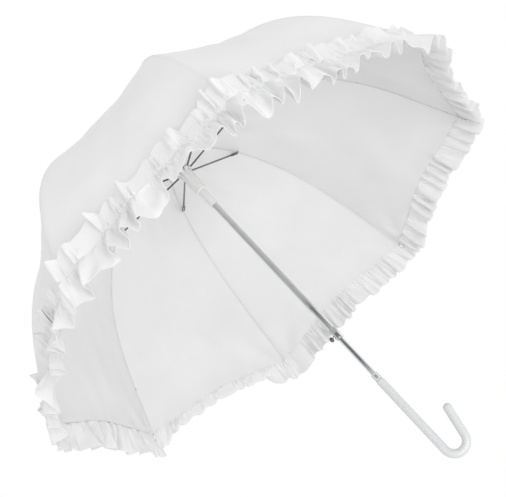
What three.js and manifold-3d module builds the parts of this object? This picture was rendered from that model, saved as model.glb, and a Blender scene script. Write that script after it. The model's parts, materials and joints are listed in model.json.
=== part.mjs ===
// White frilled parasol with a crook handle, standing open.
// Millimetres, +Z along the shaft towards the ferrule, origin at the middle of the grip.
// The crook bends towards +X.
import * as THREE from 'three';
import { mergeVertices } from 'three/addons/utils/BufferGeometryUtils.js';
import Module from 'manifold-3d';

const wasm = await Module();
wasm.setup();

// ---- handle -------------------------------------------------------------------------------
const GRIP_LENGTH = 140; // straight part, handle collar included
const GRIP_RADIUS = 6.1;
const CROOK_RADIUS = 16.5; // centreline of the bend
const CROOK_TURN = 168; // degrees
const CROOK_RETURN = 42; // straight end after the bend
const HANDLE_COLLAR_HEIGHT = 11.5;
const HANDLE_COLLAR_RADIUS = 5.4;
const COLLAR_SLOT_WIDTH = 2.2;
const COLLAR_SLOT_HEIGHT = 6;
const SOCKET_DEPTH = 40; // how far the lower tube goes into the handle

// ---- shaft --------------------------------------------------------------------------------
const LOWER_TUBE_RADIUS = 4.0;
const UPPER_TUBE_RADIUS = 4.9;
const TUBE_WALL = 0.6;
const LOWER_TUBE_SHOWN = 71; // between the handle and the lock collar
const LOWER_TUBE_INSIDE = 110; // hidden in the upper tube, above the lock collar
const LOCK_COLLAR_HEIGHT = 19;
const LOCK_COLLAR_WALL = 0.6; // round the upper tube
const SHAFT_ABOVE_LOCK = 434; // lock collar to the rib pivots

// ---- lock button on the collar ------------------------------------------------------------
const BUTTON_RADIUS = 3.9;
const BUTTON_HEAD = 5.2;
const BUTTON_TRAVEL = 1.0;
const BUTTON_STEM_RADIUS = 1.5;
const BUTTON_STEM = 1.8;
const BOSS_RADIUS = 3.1;
const BOSS_REACH = 1.2; // out of the collar's side

// ---- crown --------------------------------------------------------------------------------
const CROWN_RING_RADIUS = 12; // tie wire that the ribs turn on
const CROWN_HEIGHT = 8;
const CAP_RADIUS = 17;
const FERRULE_LENGTH = 34;
const FERRULE_RADIUS = 5.6;
const FERRULE_TIP_RADIUS = 3.2;

// ---- frame --------------------------------------------------------------------------------
const RIB_COUNT = 8;
const FIRST_RIB_ANGLE = 15; // degrees from +X
const RIM_RADIUS = 400; // axis to a rib's end
const DOME_HEIGHT = 300; // rib ends up to the rib pivots
const BEND_START = 0.05; // share of the rib where its spring bow starts
const BEND_END = 0.85;
const RIB_DEPTH = 2.0; // wire section, in the rib's plane
const RIB_WIDTH = 2.0; // wire section, across the rib's plane
const TIP_LENGTH = 16;
const TIP_RADIUS = 1.4;
const STRETCHER_JOINT_RADIUS = 187; // axis to the stretcher's rivet on the rib
const STRETCHER_DEPTH = 2.0;
const FORK_LENGTH = 24;
const FORK_TINE = 1.0;
const FORK_OVERRUN = 1; // of a tine past the rivet
const WIRE_RADIUS = 0.55; // tie wire

// ---- runner -------------------------------------------------------------------------------
const RUNNER_DROP = 70; // rib pivots down to the stretcher pivots
const RUNNER_RING_RADIUS = 12;
const RUNNER_HEAD_HEIGHT = 8;
const RUNNER_BARREL = 46;
const RUNNER_BARREL_TOP = 11;
const RUNNER_BARREL_BOTTOM = 9.3;
const RUNNER_SLEEVE = 34;
const RUNNER_SLEEVE_RADIUS = 6.8;
const KEYWAY_WIDTH = 3.0;

// ---- top catch ----------------------------------------------------------------------------
const CATCH_WIDTH = 1.6;
const CATCH_LENGTH = 14;
const CATCH_RISE = 1.3; // out of the tube's side
const CATCH_BELOW_RUNNER = 3;
const SPRING_LEAF = 0.3;
const SPRING_LENGTH = 30;

// ---- canopy and frill ---------------------------------------------------------------------
const CLOTH = 0.8;
const CLOTH_CLEARANCE = 1.5; // cloth above the rib and the forks, so that its flat facets clear the bow
const CROWN_OPENING = 8.5; // canopy's hole round the shaft
const CROWN_LIFT = 4.3; // cloth above the rib's centreline at the crown
const HEM_INSET = 18; // hem to the rib's end, along the rib
const PANEL_SAG = 9; // mid-panel dip between two ribs
const HEM_SCALLOP = 12; // hem's rise at mid-panel
const FRILL_WIDTH = 42; // hem to the free edge
const FRILL_HEADER = 28; // gathered cloth above the sewing line, lying on the canopy
const FRILL_THICKNESS = 5;
const FRILL_FLARE = 6; // degrees outwards from the canopy's edge

// ---- fits and fineness --------------------------------------------------------------------
const GAP = 0.3; // between two pieces that touch
const SLIDE_FIT = 0.2; // radial, on sliding tubes
const PIVOT_FIT = 0.35; // radial, tie wire in an eye
const SIDE_FIT = 0.4; // eye in a slot, rib in a fork
const HEADER_FIT = 1.0; // frill above the canopy, so that its flat facets clear it
const ROUND_SIDES = 48;
const WIRE_SIDES = 6;
const WIRE_STEPS = 32;
const CROOK_STEPS = 44;
const RIB_STEPS = 20;
const GORE_STEPS = 12;
const GORE_COLUMNS = 4;

const DEGREE = Math.PI / 180;
const handleTop = GRIP_LENGTH / 2;
const lockBottom = handleTop + LOWER_TUBE_SHOWN;
const lockTop = lockBottom + LOCK_COLLAR_HEIGHT;
const crownZ = lockTop + SHAFT_ABOVE_LOCK;
const runnerZ = crownZ - RUNNER_DROP;
const halfPitch = Math.PI / RIB_COUNT;

// ---- colours ------------------------------------------------------------------------------
const finish = (color, roughness, metalness) => ({ color, roughness, metalness });
const WHITE_GLOSS = finish(0xe9e8e4, 0.25, 0);
const WHITE_MATT = finish(0xdcdbd6, 0.5, 0);
const CHROME = finish(0xb9bbbe, 0.15, 1);
const STEEL = finish(0x5c5e61, 0.35, 1);
const PAINTED_WIRE = finish(0xc9cac9, 0.4, 0.4);
const CLOTH_WHITE = finish(0xf2f1ee, 0.85, 0);

const parasol = new THREE.Group();

function add(name, geometry, look, parent = parasol) {
  const mesh = new THREE.Mesh(geometry, new THREE.MeshStandardMaterial(look));
  mesh.name = name;
  parent.add(mesh);
  return mesh;
}

// ---- solids -------------------------------------------------------------------------------

function solidOf(geometry) {
  const bare = geometry.clone();
  bare.deleteAttribute('normal');
  bare.deleteAttribute('uv');
  const merged = mergeVertices(bare);
  const mesh = new wasm.Mesh({
    numProp: 3,
    vertProperties: Float32Array.from(merged.attributes.position.array),
    triVerts: Uint32Array.from(merged.index.array),
  });
  return new wasm.Manifold(mesh);
}

function geometryOf(solid) {
  const mesh = solid.getMesh();
  const geometry = new THREE.BufferGeometry();
  geometry.setAttribute('position', new THREE.BufferAttribute(Float32Array.from(mesh.vertProperties), 3));
  geometry.setIndex(new THREE.BufferAttribute(Uint32Array.from(mesh.triVerts), 1));
  geometry.computeVertexNormals();
  return geometry;
}

// A body turned about +Z from [radius, height] points, listed upwards on the outside.
function turned(points, sides = ROUND_SIDES) {
  const profile = points.map(([radius, height]) => new THREE.Vector2(radius, height));
  const open = points.some(([radius]) => radius === 0);
  if (!open) profile.push(profile[0].clone());
  return new THREE.LatheGeometry(profile, sides).rotateX(Math.PI / 2);
}

const pipe = (outer, inner, low, high) => turned([[inner, low], [outer, low], [outer, high], [inner, high]]);

function box(width, depth, height, x, y, z) {
  return new THREE.BoxGeometry(width, depth, height).translate(x, y, z);
}

// A rod with its axis along X from x0 to x1.
function rodX(radius, x0, x1, z, sides = 20) {
  return new THREE.CylinderGeometry(radius, radius, Math.abs(x1 - x0), sides)
    .rotateZ(Math.PI / 2)
    .translate((x0 + x1) / 2, 0, z);
}

// A flat outline in the X-Z plane, given a width along Y and centred on it.
function plate(shape, width, curveSegments = 5) {
  return new THREE.ExtrudeGeometry(shape, { depth: width, bevelEnabled: false, curveSegments })
    .translate(0, 0, -width / 2)
    .rotateX(Math.PI / 2);
}

function wireRing(radius, z) {
  const circle = Array.from({ length: WIRE_SIDES }, (_, i) => {
    const angle = (2 * Math.PI * i) / WIRE_SIDES;
    return [radius + WIRE_RADIUS * Math.cos(angle), z + WIRE_RADIUS * Math.sin(angle)];
  });
  return turned(circle, WIRE_STEPS);
}

// A box whose three directions are bent by place(u, v, w), each running 0 to 1.
function bentSheet(columnsU, columnsV, place) {
  const geometry = new THREE.BoxGeometry(1, 1, 1, columnsU, columnsV, 1);
  const position = geometry.attributes.position;
  for (let i = 0; i < position.count; i += 1) {
    const point = place(position.getX(i) + 0.5, position.getY(i) + 0.5, position.getZ(i) + 0.5);
    position.setXYZ(i, point.x, point.y, point.z);
  }
  geometry.computeVertexNormals();
  return geometry;
}

// ---- the rib's bow ------------------------------------------------------------------------
// The wire leaves the crown level and bends over a middle stretch, as a sprung rib does.

const smooth = (t) => {
  const c = Math.min(Math.max(t, 0), 1);
  return c * c * (3 - 2 * c);
};

const ribSlope = (share, fullTurn) => fullTurn * smooth((share - BEND_START) / (BEND_END - BEND_START));

function bowFor(fullTurn, steps) {
  const points = [{ r: 0, z: 0 }];
  for (let i = 0; i < steps; i += 1) {
    const slope = ribSlope((i + 0.5) / steps, fullTurn);
    const last = points[i];
    points.push({ r: last.r + Math.cos(slope) / steps, z: last.z - Math.sin(slope) / steps });
  }
  return points;
}

const FINE_STEPS = 520;

function solveBow() {
  const reach = RIM_RADIUS - CROWN_RING_RADIUS;
  let low = 0.1;
  let high = 2.4;
  for (let i = 0; i < 50; i += 1) {
    const middle = (low + high) / 2;
    const end = bowFor(middle, FINE_STEPS)[FINE_STEPS];
    if (-end.z / end.r > DOME_HEIGHT / reach) high = middle;
    else low = middle;
  }
  const turn = (low + high) / 2;
  const unit = bowFor(turn, FINE_STEPS);
  return { turn, length: reach / unit[FINE_STEPS].r, unit };
}

const bow = solveBow();

// Centreline point and outward normal at a share of the rib's length, in the rib's plane.
function ribAt(share) {
  const at = Math.min(Math.max(share, 0), 1) * FINE_STEPS;
  const i = Math.min(Math.floor(at), FINE_STEPS - 1);
  const part = at - i;
  const a = bow.unit[i];
  const b = bow.unit[i + 1];
  const slope = ribSlope(share, bow.turn);
  return {
    r: CROWN_RING_RADIUS + bow.length * (a.r + part * (b.r - a.r)),
    z: crownZ + bow.length * (a.z + part * (b.z - a.z)),
    nr: Math.sin(slope),
    nz: Math.cos(slope),
    slope,
  };
}

function shareAtRadius(radius) {
  let low = 0;
  let high = 1;
  for (let i = 0; i < 40; i += 1) {
    const middle = (low + high) / 2;
    if (ribAt(middle).r < radius) low = middle;
    else high = middle;
  }
  return low;
}

const tipShare = 1 - TIP_LENGTH / bow.length;
const hemShare = 1 - HEM_INSET / bow.length;
const jointShare = shareAtRadius(STRETCHER_JOINT_RADIUS);

// ---- handle and shaft ---------------------------------------------------------------------

function buildHandle() {
  const gripTop = handleTop - HANDLE_COLLAR_HEIGHT - GAP;
  const gripBottom = handleTop - GRIP_LENGTH;
  const turn = CROOK_TURN * DEGREE;
  const onBend = (angle) => new THREE.Vector3(
    CROOK_RADIUS * (1 - Math.cos(angle)), 0, gripBottom - CROOK_RADIUS * Math.sin(angle));
  const end = onBend(turn);
  const along = new THREE.Vector3(Math.sin(turn), 0, -Math.cos(turn));
  const tip = end.clone().addScaledVector(along, CROOK_RETURN);

  class Crook extends THREE.Curve {
    getPoint(t, target = new THREE.Vector3()) {
      const straight = gripTop - gripBottom;
      const bend = CROOK_RADIUS * turn;
      const s = t * (straight + bend + CROOK_RETURN);
      if (s < straight) return target.set(0, 0, gripTop - s);
      if (s < straight + bend) return target.copy(onBend((s - straight) / CROOK_RADIUS));
      return target.copy(end).addScaledVector(along, s - straight - bend);
    }
  }

  const section = new THREE.Shape().absarc(0, 0, GRIP_RADIUS, 0, 2 * Math.PI);
  const sweep = new THREE.ExtrudeGeometry(section, { steps: CROOK_STEPS, curveSegments: 7, extrudePath: new Crook() });
  const knob = new THREE.SphereGeometry(GRIP_RADIUS, 14, 8).translate(tip.x, tip.y, tip.z);
  const socket = new THREE.CylinderGeometry(
    LOWER_TUBE_RADIUS + GAP, LOWER_TUBE_RADIUS + GAP, SOCKET_DEPTH, ROUND_SIDES)
    .rotateX(Math.PI / 2)
    .translate(0, 0, handleTop - SOCKET_DEPTH / 2);
  return geometryOf(solidOf(sweep).add(solidOf(knob)).subtract(solidOf(socket)));
}

function buildHandleCollar() {
  const bottom = handleTop - HANDLE_COLLAR_HEIGHT;
  const sleeve = pipe(HANDLE_COLLAR_RADIUS, LOWER_TUBE_RADIUS + GAP, bottom, handleTop);
  const slot = box(COLLAR_SLOT_WIDTH, HANDLE_COLLAR_RADIUS, COLLAR_SLOT_HEIGHT,
    0, -HANDLE_COLLAR_RADIUS, bottom + HANDLE_COLLAR_HEIGHT / 2);
  return geometryOf(solidOf(sleeve).subtract(solidOf(slot)));
}

function buildLowerTube() {
  const bottom = handleTop - SOCKET_DEPTH + GAP;
  return pipe(LOWER_TUBE_RADIUS, LOWER_TUBE_RADIUS - TUBE_WALL, bottom, lockTop + LOWER_TUBE_INSIDE);
}

const collarRadius = UPPER_TUBE_RADIUS + GAP + LOCK_COLLAR_WALL;
const collarShoulder = lockBottom + LOCK_COLLAR_HEIGHT / 2;
const bossZ = lockBottom + LOCK_COLLAR_HEIGHT * 0.38;
const bossFace = collarRadius + BOSS_REACH;
const headFace = bossFace + BUTTON_TRAVEL + GAP;

function buildLockCollar() {
  const sleeve = turned([
    [LOWER_TUBE_RADIUS + SLIDE_FIT, lockBottom], [collarRadius, lockBottom], [collarRadius, lockTop],
    [UPPER_TUBE_RADIUS + GAP, lockTop], [UPPER_TUBE_RADIUS + GAP, collarShoulder],
    [LOWER_TUBE_RADIUS + SLIDE_FIT, collarShoulder],
  ]);
  const boss = rodX(BOSS_RADIUS, -bossFace, -(collarRadius - LOCK_COLLAR_WALL / 2), bossZ);
  const pocket = rodX(BUTTON_STEM_RADIUS + SIDE_FIT, -bossFace - 1, -(LOWER_TUBE_RADIUS + 1), bossZ);
  return geometryOf(solidOf(sleeve).add(solidOf(boss)).subtract(solidOf(pocket)));
}

function buildLockButton() {
  const stem = [[0, 0], [BUTTON_STEM_RADIUS, 0], [BUTTON_STEM_RADIUS, BUTTON_STEM], [BUTTON_RADIUS, BUTTON_STEM]];
  const dome = Array.from({ length: 6 }, (_, i) => {
    const angle = (i / 5) * 90 * DEGREE;
    const height = BUTTON_STEM + BUTTON_HEAD * 0.45;
    return [BUTTON_RADIUS * Math.cos(angle), height + BUTTON_HEAD * 0.55 * Math.sin(angle)];
  });
  dome[dome.length - 1][0] = 0;
  return turned(stem.concat(dome), 24);
}

function buildUpperTube() {
  const bottom = collarShoulder + GAP;
  const top = crownZ + CROWN_LIFT + FERRULE_LENGTH * 0.5;
  const tube = pipe(UPPER_TUBE_RADIUS, UPPER_TUBE_RADIUS - TUBE_WALL, bottom, top);
  const slot = box(CATCH_WIDTH + 2 * SIDE_FIT, 2 * UPPER_TUBE_RADIUS, CATCH_LENGTH + 2 * GAP,
    0, UPPER_TUBE_RADIUS * 1.3, catchTop - CATCH_LENGTH / 2);
  return geometryOf(solidOf(tube).subtract(solidOf(slot)));
}

// ---- runner and catch ---------------------------------------------------------------------

const runnerTop = runnerZ + RUNNER_HEAD_HEIGHT / 2;
const barrelTop = runnerZ - RUNNER_HEAD_HEIGHT / 2;
const barrelBottom = barrelTop - RUNNER_BARREL;
const runnerBottom = barrelBottom - RUNNER_SLEEVE;
const catchTop = runnerBottom - CATCH_BELOW_RUNNER;

function radialSlots(count, firstAngle, inner, outer, width, low, high) {
  const slots = [];
  for (let i = 0; i < count; i += 1) {
    const slot = box(outer - inner, width, high - low, (outer + inner) / 2, 0, (low + high) / 2);
    slots.push(solidOf(slot.rotateZ((firstAngle + (360 / count) * i) * DEGREE)));
  }
  return slots;
}

const eyeRadius = WIRE_RADIUS + PIVOT_FIT + 0.9;
const grooveHalf = WIRE_RADIUS + PIVOT_FIT;

// A hub with a groove round it for the tie wire, and one slot for each rib or stretcher.
function slottedHub(profile, ringRadius, ringZ, outer, eyeWidth) {
  let hub = solidOf(turned(profile));
  const groove = pipe(outer + 2, ringRadius - grooveHalf, ringZ - grooveHalf, ringZ + grooveHalf);
  hub = hub.subtract(solidOf(groove));
  const reach = eyeRadius * 2 + 1;
  const slots = radialSlots(RIB_COUNT, FIRST_RIB_ANGLE, ringRadius - eyeRadius - GAP, outer + 2,
    eyeWidth + 2 * SIDE_FIT, ringZ - reach * 2, ringZ + reach * 2);
  slots.forEach((slot) => {
    hub = hub.subtract(slot);
  });
  return geometryOf(hub);
}

function buildRunner() {
  const bore = UPPER_TUBE_RADIUS + SLIDE_FIT;
  const outer = RUNNER_RING_RADIUS + 1.6;
  const profile = [
    [bore, runnerBottom], [RUNNER_SLEEVE_RADIUS, runnerBottom], [RUNNER_SLEEVE_RADIUS, barrelBottom],
    [RUNNER_BARREL_BOTTOM, barrelBottom + 1], [RUNNER_BARREL_TOP, barrelTop], [outer, barrelTop],
    [outer, runnerTop - 1], [outer - 1, runnerTop], [bore, runnerTop],
  ];
  const head = slottedHub(profile, RUNNER_RING_RADIUS, runnerZ, outer, STRETCHER_DEPTH);
  const keyReach = UPPER_TUBE_RADIUS + CATCH_RISE + SIDE_FIT;
  const keyway = box(KEYWAY_WIDTH, keyReach, runnerTop - runnerBottom + 2,
    0, keyReach / 2, (runnerTop + runnerBottom) / 2);
  return geometryOf(solidOf(head).subtract(solidOf(keyway)));
}

function buildCatch() {
  const inside = UPPER_TUBE_RADIUS - TUBE_WALL;
  const outside = UPPER_TUBE_RADIUS + CATCH_RISE;
  const shape = new THREE.Shape();
  shape.moveTo(inside, catchTop - CATCH_LENGTH);
  shape.lineTo(UPPER_TUBE_RADIUS - 0.1, catchTop - CATCH_LENGTH);
  shape.lineTo(outside, catchTop - 2);
  shape.lineTo(outside, catchTop);
  shape.lineTo(inside, catchTop);
  shape.closePath();
  return plate(shape, CATCH_WIDTH).rotateZ(Math.PI / 2);
}

function buildCatchSpring() {
  const face = UPPER_TUBE_RADIUS - TUBE_WALL - GAP;
  const foot = catchTop - CATCH_LENGTH - SPRING_LENGTH;
  const shape = new THREE.Shape();
  shape.moveTo(-face * 0.7, foot);
  shape.lineTo(-face * 0.7 + SPRING_LEAF, foot);
  shape.lineTo(face, catchTop - CATCH_LENGTH);
  shape.lineTo(face, catchTop);
  shape.lineTo(face - SPRING_LEAF, catchTop);
  shape.lineTo(face - SPRING_LEAF, catchTop - CATCH_LENGTH + 0.5);
  shape.closePath();
  return plate(shape, CATCH_WIDTH).rotateZ(Math.PI / 2);
}

// ---- crown --------------------------------------------------------------------------------

const hubTop = crownZ + eyeRadius + GAP;
const clothTop = crownZ + CROWN_LIFT + CLOTH;
const capTop = clothTop + GAP + 2.5;

function buildCrown() {
  const outer = CROWN_RING_RADIUS + 1.8;
  const low = hubTop - CROWN_HEIGHT;
  const bore = UPPER_TUBE_RADIUS + GAP;
  const profile = [[bore, low], [outer - 1, low], [outer, low + 1], [outer, hubTop], [bore, hubTop]];
  return slottedHub(profile, CROWN_RING_RADIUS, crownZ, outer, RIB_WIDTH);
}

function buildCap() {
  const bore = UPPER_TUBE_RADIUS + GAP;
  const under = clothTop + GAP;
  return turned([
    [bore, under], [CAP_RADIUS, under], [CAP_RADIUS, under + 0.7], [CAP_RADIUS * 0.7, capTop - 0.6],
    [FERRULE_RADIUS + 1, capTop], [bore, capTop],
  ]);
}

function buildFerrule() {
  const bore = UPPER_TUBE_RADIUS + GAP;
  const low = capTop + GAP;
  const top = low + FERRULE_LENGTH;
  const boreTop = crownZ + CROWN_LIFT + FERRULE_LENGTH * 0.5 + GAP;
  return turned([
    [0, boreTop], [bore, boreTop], [bore, low], [FERRULE_RADIUS, low], [FERRULE_RADIUS, low + 5],
    [FERRULE_TIP_RADIUS + 0.6, top - 2], [FERRULE_TIP_RADIUS, top], [0, top],
  ]);
}

// ---- ribs and stretchers ------------------------------------------------------------------

function buildRib() {
  const half = RIB_DEPTH / 2;
  const shares = Array.from({ length: RIB_STEPS + 1 }, (_, i) => {
    const first = (eyeRadius * 0.8) / bow.length;
    return first + (tipShare - GAP / bow.length - first) * (i / RIB_STEPS);
  });
  const upper = shares.map((share) => {
    const at = ribAt(share);
    return new THREE.Vector2(at.r + at.nr * half, at.z + at.nz * half);
  });
  const lower = shares.map((share) => {
    const at = ribAt(share);
    return new THREE.Vector2(at.r - at.nr * half, at.z - at.nz * half);
  });
  const strip = new THREE.Shape(lower.concat(upper.reverse()));
  const eye = new THREE.Shape().absarc(CROWN_RING_RADIUS, crownZ, eyeRadius, 0, 2 * Math.PI);
  const hole = new THREE.Shape().absarc(CROWN_RING_RADIUS, crownZ, WIRE_RADIUS + PIVOT_FIT, 0, 2 * Math.PI);
  return geometryOf(solidOf(plate(strip, RIB_WIDTH))
    .add(solidOf(plate(eye, RIB_WIDTH)))
    .subtract(solidOf(plate(hole, RIB_WIDTH * 2))));
}

function buildRibTip() {
  const root = ribAt(tipShare);
  const bead = turned([
    [0, 0], [TIP_RADIUS * 0.8, 0], [TIP_RADIUS * 0.8, TIP_LENGTH * 0.6], [TIP_RADIUS, TIP_LENGTH * 0.7],
    [TIP_RADIUS * 0.7, TIP_LENGTH * 0.95], [0, TIP_LENGTH],
  ], 8);
  const lean = Math.PI / 2 + ribAt(1).slope;
  return bead.rotateY(lean).translate(root.r, 0, root.z);
}

function buildStretcher() {
  const joint = ribAt(jointShare);
  const length = Math.hypot(joint.r - RUNNER_RING_RADIUS, joint.z - runnerZ);
  const rise = Math.atan2(joint.z - runnerZ, joint.r - RUNNER_RING_RADIUS);
  const half = STRETCHER_DEPTH / 2;
  const barEnd = length - FORK_LENGTH;
  const forkInside = RIB_WIDTH / 2 + SIDE_FIT;
  const forkOutside = forkInside + FORK_TINE;
  const bar = box(barEnd - eyeRadius * 0.6, STRETCHER_DEPTH, STRETCHER_DEPTH, (barEnd + eyeRadius * 0.6) / 2, 0, 0);
  const eye = new THREE.Shape().absarc(0, 0, eyeRadius, 0, 2 * Math.PI);
  const hole = new THREE.Shape().absarc(0, 0, WIRE_RADIUS + PIVOT_FIT, 0, 2 * Math.PI);
  const yoke = box(2, 2 * forkOutside, STRETCHER_DEPTH, barEnd + 0.5, 0, 0);
  let solid = solidOf(bar).add(solidOf(plate(eye, STRETCHER_DEPTH))).add(solidOf(yoke));
  [-1, 1].forEach((side) => {
    const tineY = (side * (forkInside + forkOutside)) / 2;
    const tineLength = FORK_LENGTH + FORK_OVERRUN;
    const tine = box(tineLength, FORK_TINE, STRETCHER_DEPTH, barEnd + tineLength / 2, tineY, 0);
    solid = solid.add(solidOf(tine));
  });
  solid = solid.subtract(solidOf(plate(hole, STRETCHER_DEPTH * 2)));
  return geometryOf(solid).rotateY(-rise).translate(RUNNER_RING_RADIUS, 0, runnerZ);
}

// ---- canopy -------------------------------------------------------------------------------
// Each section reaches half a panel either side of one rib. turn is the angle from that rib.

function clothAt(share, turn, height) {
  const at = ribAt(share);
  const across = Math.min(Math.abs(turn) / halfPitch, 1);
  const chord = Math.cos(halfPitch) / Math.cos(halfPitch - Math.abs(turn));
  const sag = PANEL_SAG * Math.sin(Math.PI * Math.min(share, 1)) * (1 - (1 - across) ** 2);
  const forkReach = Math.hypot(FORK_OVERRUN, STRETCHER_DEPTH / 2);
  const rest = Math.max(RIB_DEPTH / 2, forkReach) + CLOTH_CLEARANCE;
  const lift = rest + (CROWN_LIFT - rest) * (1 - smooth(share / 0.1)) + height - sag;
  const radius = (at.r + at.nr * lift) * chord;
  return new THREE.Vector3(radius * Math.cos(turn), radius * Math.sin(turn), at.z + at.nz * lift);
}

const hemAt = (turn) => {
  const across = Math.abs(turn) / halfPitch;
  return hemShare - (HEM_SCALLOP / bow.length) * Math.sin((Math.PI / 2) * across) ** 2;
};

function sideTurn(v, radius) {
  const limit = halfPitch - GAP / 2 / Math.max(radius, CROWN_OPENING);
  return (2 * v - 1) * limit;
}

function buildGore() {
  return bentSheet(GORE_STEPS, GORE_COLUMNS, (u, v, w) => {
    const rough = (2 * v - 1) * halfPitch;
    const share = u * hemAt(rough);
    const radius = ribAt(share).r;
    const point = clothAt(share, sideTurn(v, radius), w * CLOTH);
    const inner = Math.max(0, 1 - u * GORE_STEPS);
    const shrink = 1 - inner * (1 - CROWN_OPENING / CROWN_RING_RADIUS);
    return new THREE.Vector3(point.x * shrink, point.y * shrink, point.z);
  });
}

// The frill is sewn on over the hem, so it starts above the hem and runs on past it.
function buildFrill() {
  const flare = FRILL_FLARE * DEGREE;
  return bentSheet(5, GORE_COLUMNS, (u, v, w) => {
    const turn = sideTurn(v, RIM_RADIUS);
    const hem = hemAt(turn);
    const run = u * (FRILL_HEADER + FRILL_WIDTH) - FRILL_HEADER;
    const height = CLOTH + HEADER_FIT + w * FRILL_THICKNESS;
    if (run <= 0) return clothAt(hem + run / bow.length, turn, height);
    const edge = clothAt(hem, turn, height);
    const slope = ribAt(hem).slope - flare;
    const out = run * Math.cos(slope);
    return edge.add(new THREE.Vector3(out * Math.cos(turn), out * Math.sin(turn), -run * Math.sin(slope)));
  });
}

// ---- assembly -----------------------------------------------------------------------------

add('handle', buildHandle(), WHITE_GLOSS);
add('handle_collar', buildHandleCollar(), WHITE_GLOSS);
add('lower_tube', buildLowerTube(), CHROME);
add('lock_collar', buildLockCollar(), CHROME);
const button = add('lock_button', buildLockButton(), CHROME);
button.rotation.y = -Math.PI / 2;
button.position.set(-(headFace - BUTTON_STEM), 0, bossZ);
add('upper_tube', buildUpperTube(), CHROME);
add('top_catch', buildCatch(), STEEL);
add('catch_spring', buildCatchSpring(), STEEL);
add('runner', buildRunner(), WHITE_MATT);
add('runner_wire', wireRing(RUNNER_RING_RADIUS, runnerZ), STEEL);
add('crown_notch', buildCrown(), WHITE_MATT);
add('crown_wire', wireRing(CROWN_RING_RADIUS, crownZ), STEEL);
add('crown_cap', buildCap(), WHITE_MATT);
add('ferrule', buildFerrule(), WHITE_GLOSS);

for (let i = 0; i < RIB_COUNT; i += 1) {
  const spoke = new THREE.Group();
  spoke.rotation.z = (FIRST_RIB_ANGLE + (360 / RIB_COUNT) * i) * DEGREE;
  parasol.add(spoke);
  const number = i + 1;
  add(`rib_${number}`, buildRib(), PAINTED_WIRE, spoke);
  add(`rib_tip_${number}`, buildRibTip(), STEEL, spoke);
  add(`stretcher_${number}`, buildStretcher(), STEEL, spoke);
  add(`canopy_gore_${number}`, buildGore(), CLOTH_WHITE, spoke);
  add(`frill_${number}`, buildFrill(), CLOTH_WHITE, spoke);
}

export default parasol;
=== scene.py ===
import json
import math

import bmesh
import bpy
import numpy as np
from bpy.props import FloatProperty, FloatVectorProperty, IntProperty, PointerProperty
from mathutils import Matrix, Vector

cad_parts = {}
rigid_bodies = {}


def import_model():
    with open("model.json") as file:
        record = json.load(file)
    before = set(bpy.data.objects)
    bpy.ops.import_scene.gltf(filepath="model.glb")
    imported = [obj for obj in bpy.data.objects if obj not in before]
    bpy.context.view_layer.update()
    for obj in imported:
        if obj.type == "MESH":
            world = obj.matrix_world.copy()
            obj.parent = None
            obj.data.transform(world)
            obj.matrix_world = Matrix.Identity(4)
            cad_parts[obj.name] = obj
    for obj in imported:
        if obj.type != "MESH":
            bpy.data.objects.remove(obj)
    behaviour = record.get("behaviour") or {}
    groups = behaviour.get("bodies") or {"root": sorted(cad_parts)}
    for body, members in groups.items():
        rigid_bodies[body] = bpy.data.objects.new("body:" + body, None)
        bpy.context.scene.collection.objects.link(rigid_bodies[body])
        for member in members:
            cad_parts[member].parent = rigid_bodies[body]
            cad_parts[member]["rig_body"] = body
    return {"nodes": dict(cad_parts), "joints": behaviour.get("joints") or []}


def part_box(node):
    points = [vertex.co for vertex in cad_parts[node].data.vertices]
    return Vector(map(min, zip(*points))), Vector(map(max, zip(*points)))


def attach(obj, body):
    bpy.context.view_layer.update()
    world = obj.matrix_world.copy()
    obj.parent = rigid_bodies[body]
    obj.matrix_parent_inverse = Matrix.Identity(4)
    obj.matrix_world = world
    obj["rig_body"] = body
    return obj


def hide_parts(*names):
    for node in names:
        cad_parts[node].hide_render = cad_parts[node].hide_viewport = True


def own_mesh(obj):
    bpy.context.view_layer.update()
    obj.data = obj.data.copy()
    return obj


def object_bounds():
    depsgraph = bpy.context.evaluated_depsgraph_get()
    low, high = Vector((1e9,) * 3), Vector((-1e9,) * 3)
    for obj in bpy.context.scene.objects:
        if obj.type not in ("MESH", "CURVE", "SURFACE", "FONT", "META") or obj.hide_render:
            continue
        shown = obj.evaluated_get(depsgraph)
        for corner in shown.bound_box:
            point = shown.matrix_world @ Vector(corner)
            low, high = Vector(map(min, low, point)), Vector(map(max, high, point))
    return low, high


bl_info = {
    "name": "Frilled Parasol",
    "version": (1, 0, 0),
    "blender": (4, 5, 0),
    "location": "3D View > Sidebar > Parasol",
    "description": "Builds the cloth, frame, shaft and handle of an open frilled parasol",
    "category": "Add Mesh",
}

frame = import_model()
CAD_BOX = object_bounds()

MM = 0.001
RIB_COUNT = sum(name.startswith("rib_tip_") for name in frame["nodes"])
PITCH = 2 * math.pi / RIB_COUNT
HALF_PITCH = PITCH / 2


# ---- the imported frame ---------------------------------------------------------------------


def joint(name):
    return next(j for j in frame["joints"] if j["name"] == name)


def node_points(node):
    """All the corners of a CAD node, as rows of x, y, z."""
    return np.array([v.co for v in frame["nodes"][node].data.vertices], float)


CROWN = Vector(joint("rib_1_fold")["pos_m"])
CROWN_RING = math.hypot(CROWN.x, CROWN.y)
FIRST_RIB = math.atan2(CROWN.y, CROWN.x)
RIB_END = Vector(max(node_points("rib_tip_1"), key=lambda p: (Vector(p) - CROWN).length))
RIM_RADIUS = math.hypot(RIB_END.x, RIB_END.y)
DOME_HEIGHT = CROWN.z - RIB_END.z
RUNNER_RING = Vector(joint("stretcher_1_swing")["pos_m"])


def rib_angle(number):
    return FIRST_RIB + (number - 1) * PITCH


def rib_numbers():
    return range(1, RIB_COUNT + 1)


# ---- sizes and colours a user would change ------------------------------------------------


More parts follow.
